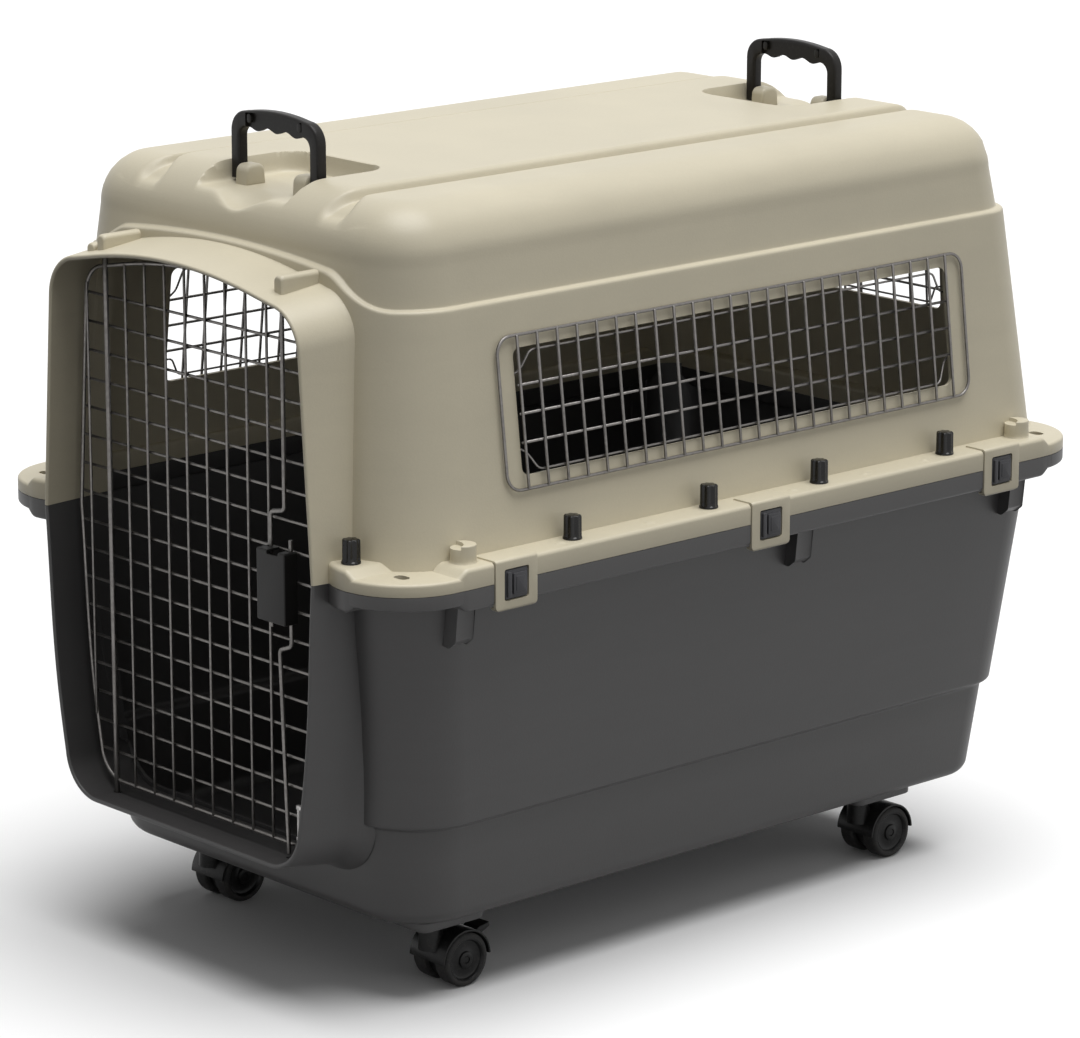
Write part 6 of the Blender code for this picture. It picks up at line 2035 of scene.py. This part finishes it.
@dataclass
class Castor:
    """One twin-wheel castor: plate, hooded frame, two wheels and, in front, a brake lug."""

    trail: float = 0.024
    wheel_radius: float = 0.026
    wheel_width: float = 0.017
    web: float = 0.012
    side_gap: float = 0.0015
    hood_gap: float = 0.0015
    hood_thick: float = 0.0022
    top_z: float = 0.0703
    facets: int = 64
    screw: float = 0.016

    def tyre(self, made: Surface, x: float, y: float, side: int) -> None:
        """Add the rubber tyre: a ring with round shoulders, as a closed profile turned."""
        low, high = 0.0, self.wheel_width
        radius, inner = self.wheel_radius, 0.0205
        profile = fillet([(low, inner), (low, radius), (high, radius), (high, inner)][::-1],
                         [0.0008, 0.0034, 0.0022, 0.0], 5)
        rings = revolve_rings(profile * np.array([side, 1.0]), (x, y, self.wheel_radius), Axis.X,
                              self.facets)
        made.ring_solid(rings)

    def hub(self, made: Surface, x: float, y: float, side: int) -> None:
        """Add the dished hub with a raised cap, from the axle out to the tyre."""
        face = ((0.0006, 0.0207), (0.0003, 0.0200), (0.0010, 0.0192), (0.0030, 0.0184),
                (0.0036, 0.0172), (0.0036, 0.0092), (0.0030, 0.0082), (0.0012, 0.0076),
                (0.0006, 0.0066), (0.0006, 0.0036))
        profile = np.array([(0.0005, 0.0036), (0.0005, 0.0207)]
                           + [(self.wheel_width - sunk, radius) for sunk, radius in face])
        rings = revolve_rings(profile * np.array([side, 1.0]), (x, y, self.wheel_radius), Axis.X,
                              self.facets)
        made.ring_solid(rings)

    def build_wheels(self, shop: Workshop, word: str, x: float, y: float) -> None:
        """Make both wheels of one castor."""
        out = 1 if x > 0 else -1
        for name, side in (("outer", out), ("inner", -out)):
            start = x + side * (self.web / 2 + self.side_gap)
            tyre, hub = Surface(), Surface()
            self.tyre(tyre, start, y, side)
            self.hub(hub, start, y, side)
            body = f"wheel_{word}_{name}"
            shop.fit(tyre.build(f"tyre_{word}_{name}", 50.0), Kind.TREAD, body, body)
            shop.fit(hub.build(f"hub_{word}_{name}", 35.0), Kind.CASTOR, body)

    def frame(self, name: str, x: float, y: float) -> Object:
        """Make the hood over both wheels with its web, neck and axle."""
        reach = self.web / 2 + self.side_gap + self.wheel_width
        inner = self.wheel_radius + self.hood_gap
        outer = inner + self.hood_thick
        centre = (y, self.wheel_radius)
        outline = np.concatenate([arc(centre, outer, 2, 178, 40), arc(centre, inner, 178, 2, 40)])
        made = Surface()
        made.stack(slab_rings(outline, x - reach, x + reach, Axis.X, 0.0007, 2))
        low, high = x - self.web / 2 + 0.0003, x + self.web / 2 - 0.0003
        made.stack(slab_rings(arc(centre, inner + 0.0005, 0, 180, 40), low, high, Axis.X,
                              0.0004, 1))
        axle = (0.0, *centre)
        made.stack(revolve_rings(np.array([(low, 0.0208), (high, 0.0208)]), axle, Axis.X, 40))
        low, high = x - reach + 0.0012, x + reach - 0.0012
        made.stack(revolve_rings(np.array([(low, 0.0030), (high, 0.0030)]), axle, Axis.X, 24))
        swivel = (x, y - self.trail, 0.0)
        neck = np.array([(inner + 0.010, 0.0120), (inner + 0.024, 0.0115), (0.0655, 0.0104),
                         (0.0692, 0.0104), (self.top_z, 0.0094)])
        made.stack(revolve_rings(neck, swivel, Axis.Z, 40))
        cheek = fillet([(y - self.trail - 0.0105, 0.050), (y - 0.004, 0.050), (y - 0.008, 0.0575),
                        (y - self.trail + 0.007, 0.0665), (y - self.trail - 0.0085, 0.0665)],
                       [0.002, 0.002, 0.006, 0.004, 0.004], 5)
        made.stack(slab_rings(cheek, x - 0.0055, x + 0.0055, Axis.X, 0.0012, 2))
        return made.build(name, 40.0)

    def plate(self, name: str, x: float, y: float) -> Object:
        """Make the fixing plate with its kingpin and four screw heads."""
        top = self.top_z + 0.0029
        made = Surface()
        outline = round_rect(0.022, 0.022, 0.005, 6) + np.array([x, y])
        made.stack(slab_rings(outline, top - 0.0026, top, Axis.Z, 0.0005, 2))
        head = np.array([(top - 0.0044, 0.0016), (top - 0.0042, 0.0026), (top - 0.0024, 0.0034)])
        for along in (-self.screw, self.screw):
            for across in (-self.screw, self.screw):
                made.stack(revolve_rings(head, (x + along, y + across, 0.0), Axis.Z, 20))
        pin = np.array([(top - 0.0126, 0.0036), (top - 0.0122, 0.0040), (top - 0.001, 0.0040)])
        made.stack(revolve_rings(pin, (x, y, 0.0), Axis.Z, 24))
        return made.build(name)

    def brake(self, name: str, x: float, y: float) -> Object:
        """Make the brake's foot lug at the back of the hood."""
        outline = fillet([(y + 0.0226, 0.0405), (y + 0.0300, 0.0415), (y + 0.0412, 0.0470),
                          (y + 0.0412, 0.0515), (y + 0.0270, 0.0490), (y + 0.0215, 0.0440)],
                         [0.001, 0.003, 0.0016, 0.0016, 0.004, 0.001], 5)
        return slab(name, outline, x - 0.010, x + 0.010, Axis.X, 0.0012)

    def build(self, shop: Workshop) -> None:
        """Make all four castors."""
        for word, x, swivel_y in CASTER_PLACES:
            axle_y = swivel_y + self.trail
            self.build_wheels(shop, word, x, axle_y)
            shop.fit(self.frame(f"castor_hood_{word}", x, axle_y), Kind.CASTOR, f"castor_{word}",
                     f"caster_frame_{word}")
            shop.fit(self.plate(f"castor_plate_{word}", x, swivel_y), Kind.PLATE, "crate",
                     f"caster_plate_{word}")
            if word.startswith("front"):
                shop.fit(self.brake(f"brake_{word}", x, axle_y), Kind.CASTOR, f"brake_{word}",
                         f"brake_lever_{word}")


# Stage


@dataclass
class Studio:
    """White ground and backdrop, soft suns and the photograph's camera."""

    camera_at: tuple[float, float, float] = (3.3327, -3.0204, 1.513)
    camera_to: tuple[float, float, float] = (-0.719, 0.6499, -0.2462)
    lens: float = 4707 * 36 / 1080
    world_light: float = 0.18
    floor_white: float = 0.90
    floor_bounce: float = 0.08

    def camera(self) -> None:
        """Put the camera where the photograph was taken from."""
        lens = bpy.data.cameras.new("photo_camera")
        lens.sensor_fit = "HORIZONTAL"
        lens.sensor_width = 36.0
        lens.lens = self.lens
        lens.clip_end = 100.0
        eye = bpy.data.objects.new("photo_camera", lens)
        bpy.context.scene.collection.objects.link(eye)
        turn = Vector(self.camera_to).to_track_quat("-Z", "Y")
        eye.matrix_world = Matrix.Translation(Vector(self.camera_at)) @ turn.to_matrix().to_4x4()
        bpy.context.scene.camera = eye

    def sun(self, name: str, toward: Sequence[float], power: float, angle: float) -> None:
        """Add one soft sun that shines along a direction."""
        light = bpy.data.lights.new(name, "SUN")
        light.energy = power
        light.angle = math.radians(angle)
        lamp = bpy.data.objects.new(name, light)
        lamp.rotation_euler = Vector(toward).to_track_quat("-Z", "Y").to_euler()
        bpy.context.scene.collection.objects.link(lamp)

    def world(self) -> None:
        """Make a world that is plain white to look at and dim as a light."""
        world = bpy.data.worlds.new("white_room")
        bpy.context.scene.world = world
        world.use_nodes = True
        tree = world.node_tree
        path = tree.nodes.new("ShaderNodeLightPath")
        glossy, seen = (tree.nodes.new("ShaderNodeMath") for _ in range(2))
        glossy.operation = seen.operation = "MAXIMUM"
        tree.links.new(path.outputs["Is Glossy Ray"], glossy.inputs[0])
        tree.links.new(path.outputs["Is Transmission Ray"], glossy.inputs[1])
        tree.links.new(path.outputs["Is Camera Ray"], seen.inputs[0])
        tree.links.new(glossy.outputs[0], seen.inputs[1])
        level = tree.nodes.new("ShaderNodeMapRange")
        level.inputs["To Min"].default_value = self.world_light
        level.inputs["To Max"].default_value = 1.0
        tree.links.new(seen.outputs[0], level.inputs["Value"])
        back = tree.nodes["Background"]
        back.inputs["Color"].default_value = (1.0, 1.0, 1.0, 1.0)
        tree.links.new(level.outputs[0], back.inputs["Strength"])

    def floor(self) -> Object:
        """Make the ground: white to the camera, dimmer in what it throws back at the crate."""
        made = Surface()
        reach = np.linspace(-40.0, 40.0, 9)
        x, y = np.meshgrid(reach, reach)
        made.grid(np.stack([x, y, np.full_like(x, -0.0002)], -1))
        ground = made.build("ground")
        material = bpy.data.materials.new("ground")
        material.use_nodes = True
        tree = material.node_tree
        tree.nodes.clear()
        output = tree.nodes.new("ShaderNodeOutputMaterial")
        path = tree.nodes.new("ShaderNodeLightPath")
        seen = tree.nodes.new("ShaderNodeMath")
        seen.operation = "MAXIMUM"
        tree.links.new(path.outputs["Is Camera Ray"], seen.inputs[0])
        tree.links.new(path.outputs["Is Glossy Ray"], seen.inputs[1])
        blend = tree.nodes.new("ShaderNodeMixShader")
        tree.links.new(seen.outputs[0], blend.inputs[0])
        for index, level in ((1, self.floor_bounce), (2, self.floor_white)):
            matt = tree.nodes.new("ShaderNodeBsdfDiffuse")
            matt.inputs["Color"].default_value = (level, level, level, 1.0)
            tree.links.new(matt.outputs[0], blend.inputs[index])
        tree.links.new(blend.outputs[0], output.inputs["Surface"])
        ground.data.materials.append(material)
        return ground

    def build(self) -> None:
        """Set up the stage."""
        bpy.context.scene.view_settings.view_transform = "Standard"
        self.camera()
        self.world()
        self.sun("top_sun", (-0.15, -0.05, -1.0), 3.4, 50.0)
        self.sun("side_sun", (-1.0, -0.60, -0.40), 0.22, 60.0)
        self.sun("front_sun", (-1.0, 0.45, -0.30), 0.24, 60.0)
        self.floor()


def corners(limits: tuple[Vector, Vector]) -> list[list[float]]:
    """Return both corners of a box as plain lists."""
    return [[round(float(value), 6) for value in corner] for corner in limits]


def main() -> None:
    """Build every sub-assembly in order."""
    logging.basicConfig(level=logging.INFO, format="%(name)s %(message)s")
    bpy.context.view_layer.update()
    shop = Workshop()
    upper = UpperShell()
    upper.build(shop)
    LowerShell().build(shop)
    Sleeve().build(shop)
    Rim().build(shop)
    RimClip().build(shop)
    RimKnob().build(shop)
    Door().build(shop)
    WindowPanel(upper).build(shop)
    Handle().build(shop)
    Castor().build(shop)
    Studio().build()


if __name__ == "__main__":
    main()
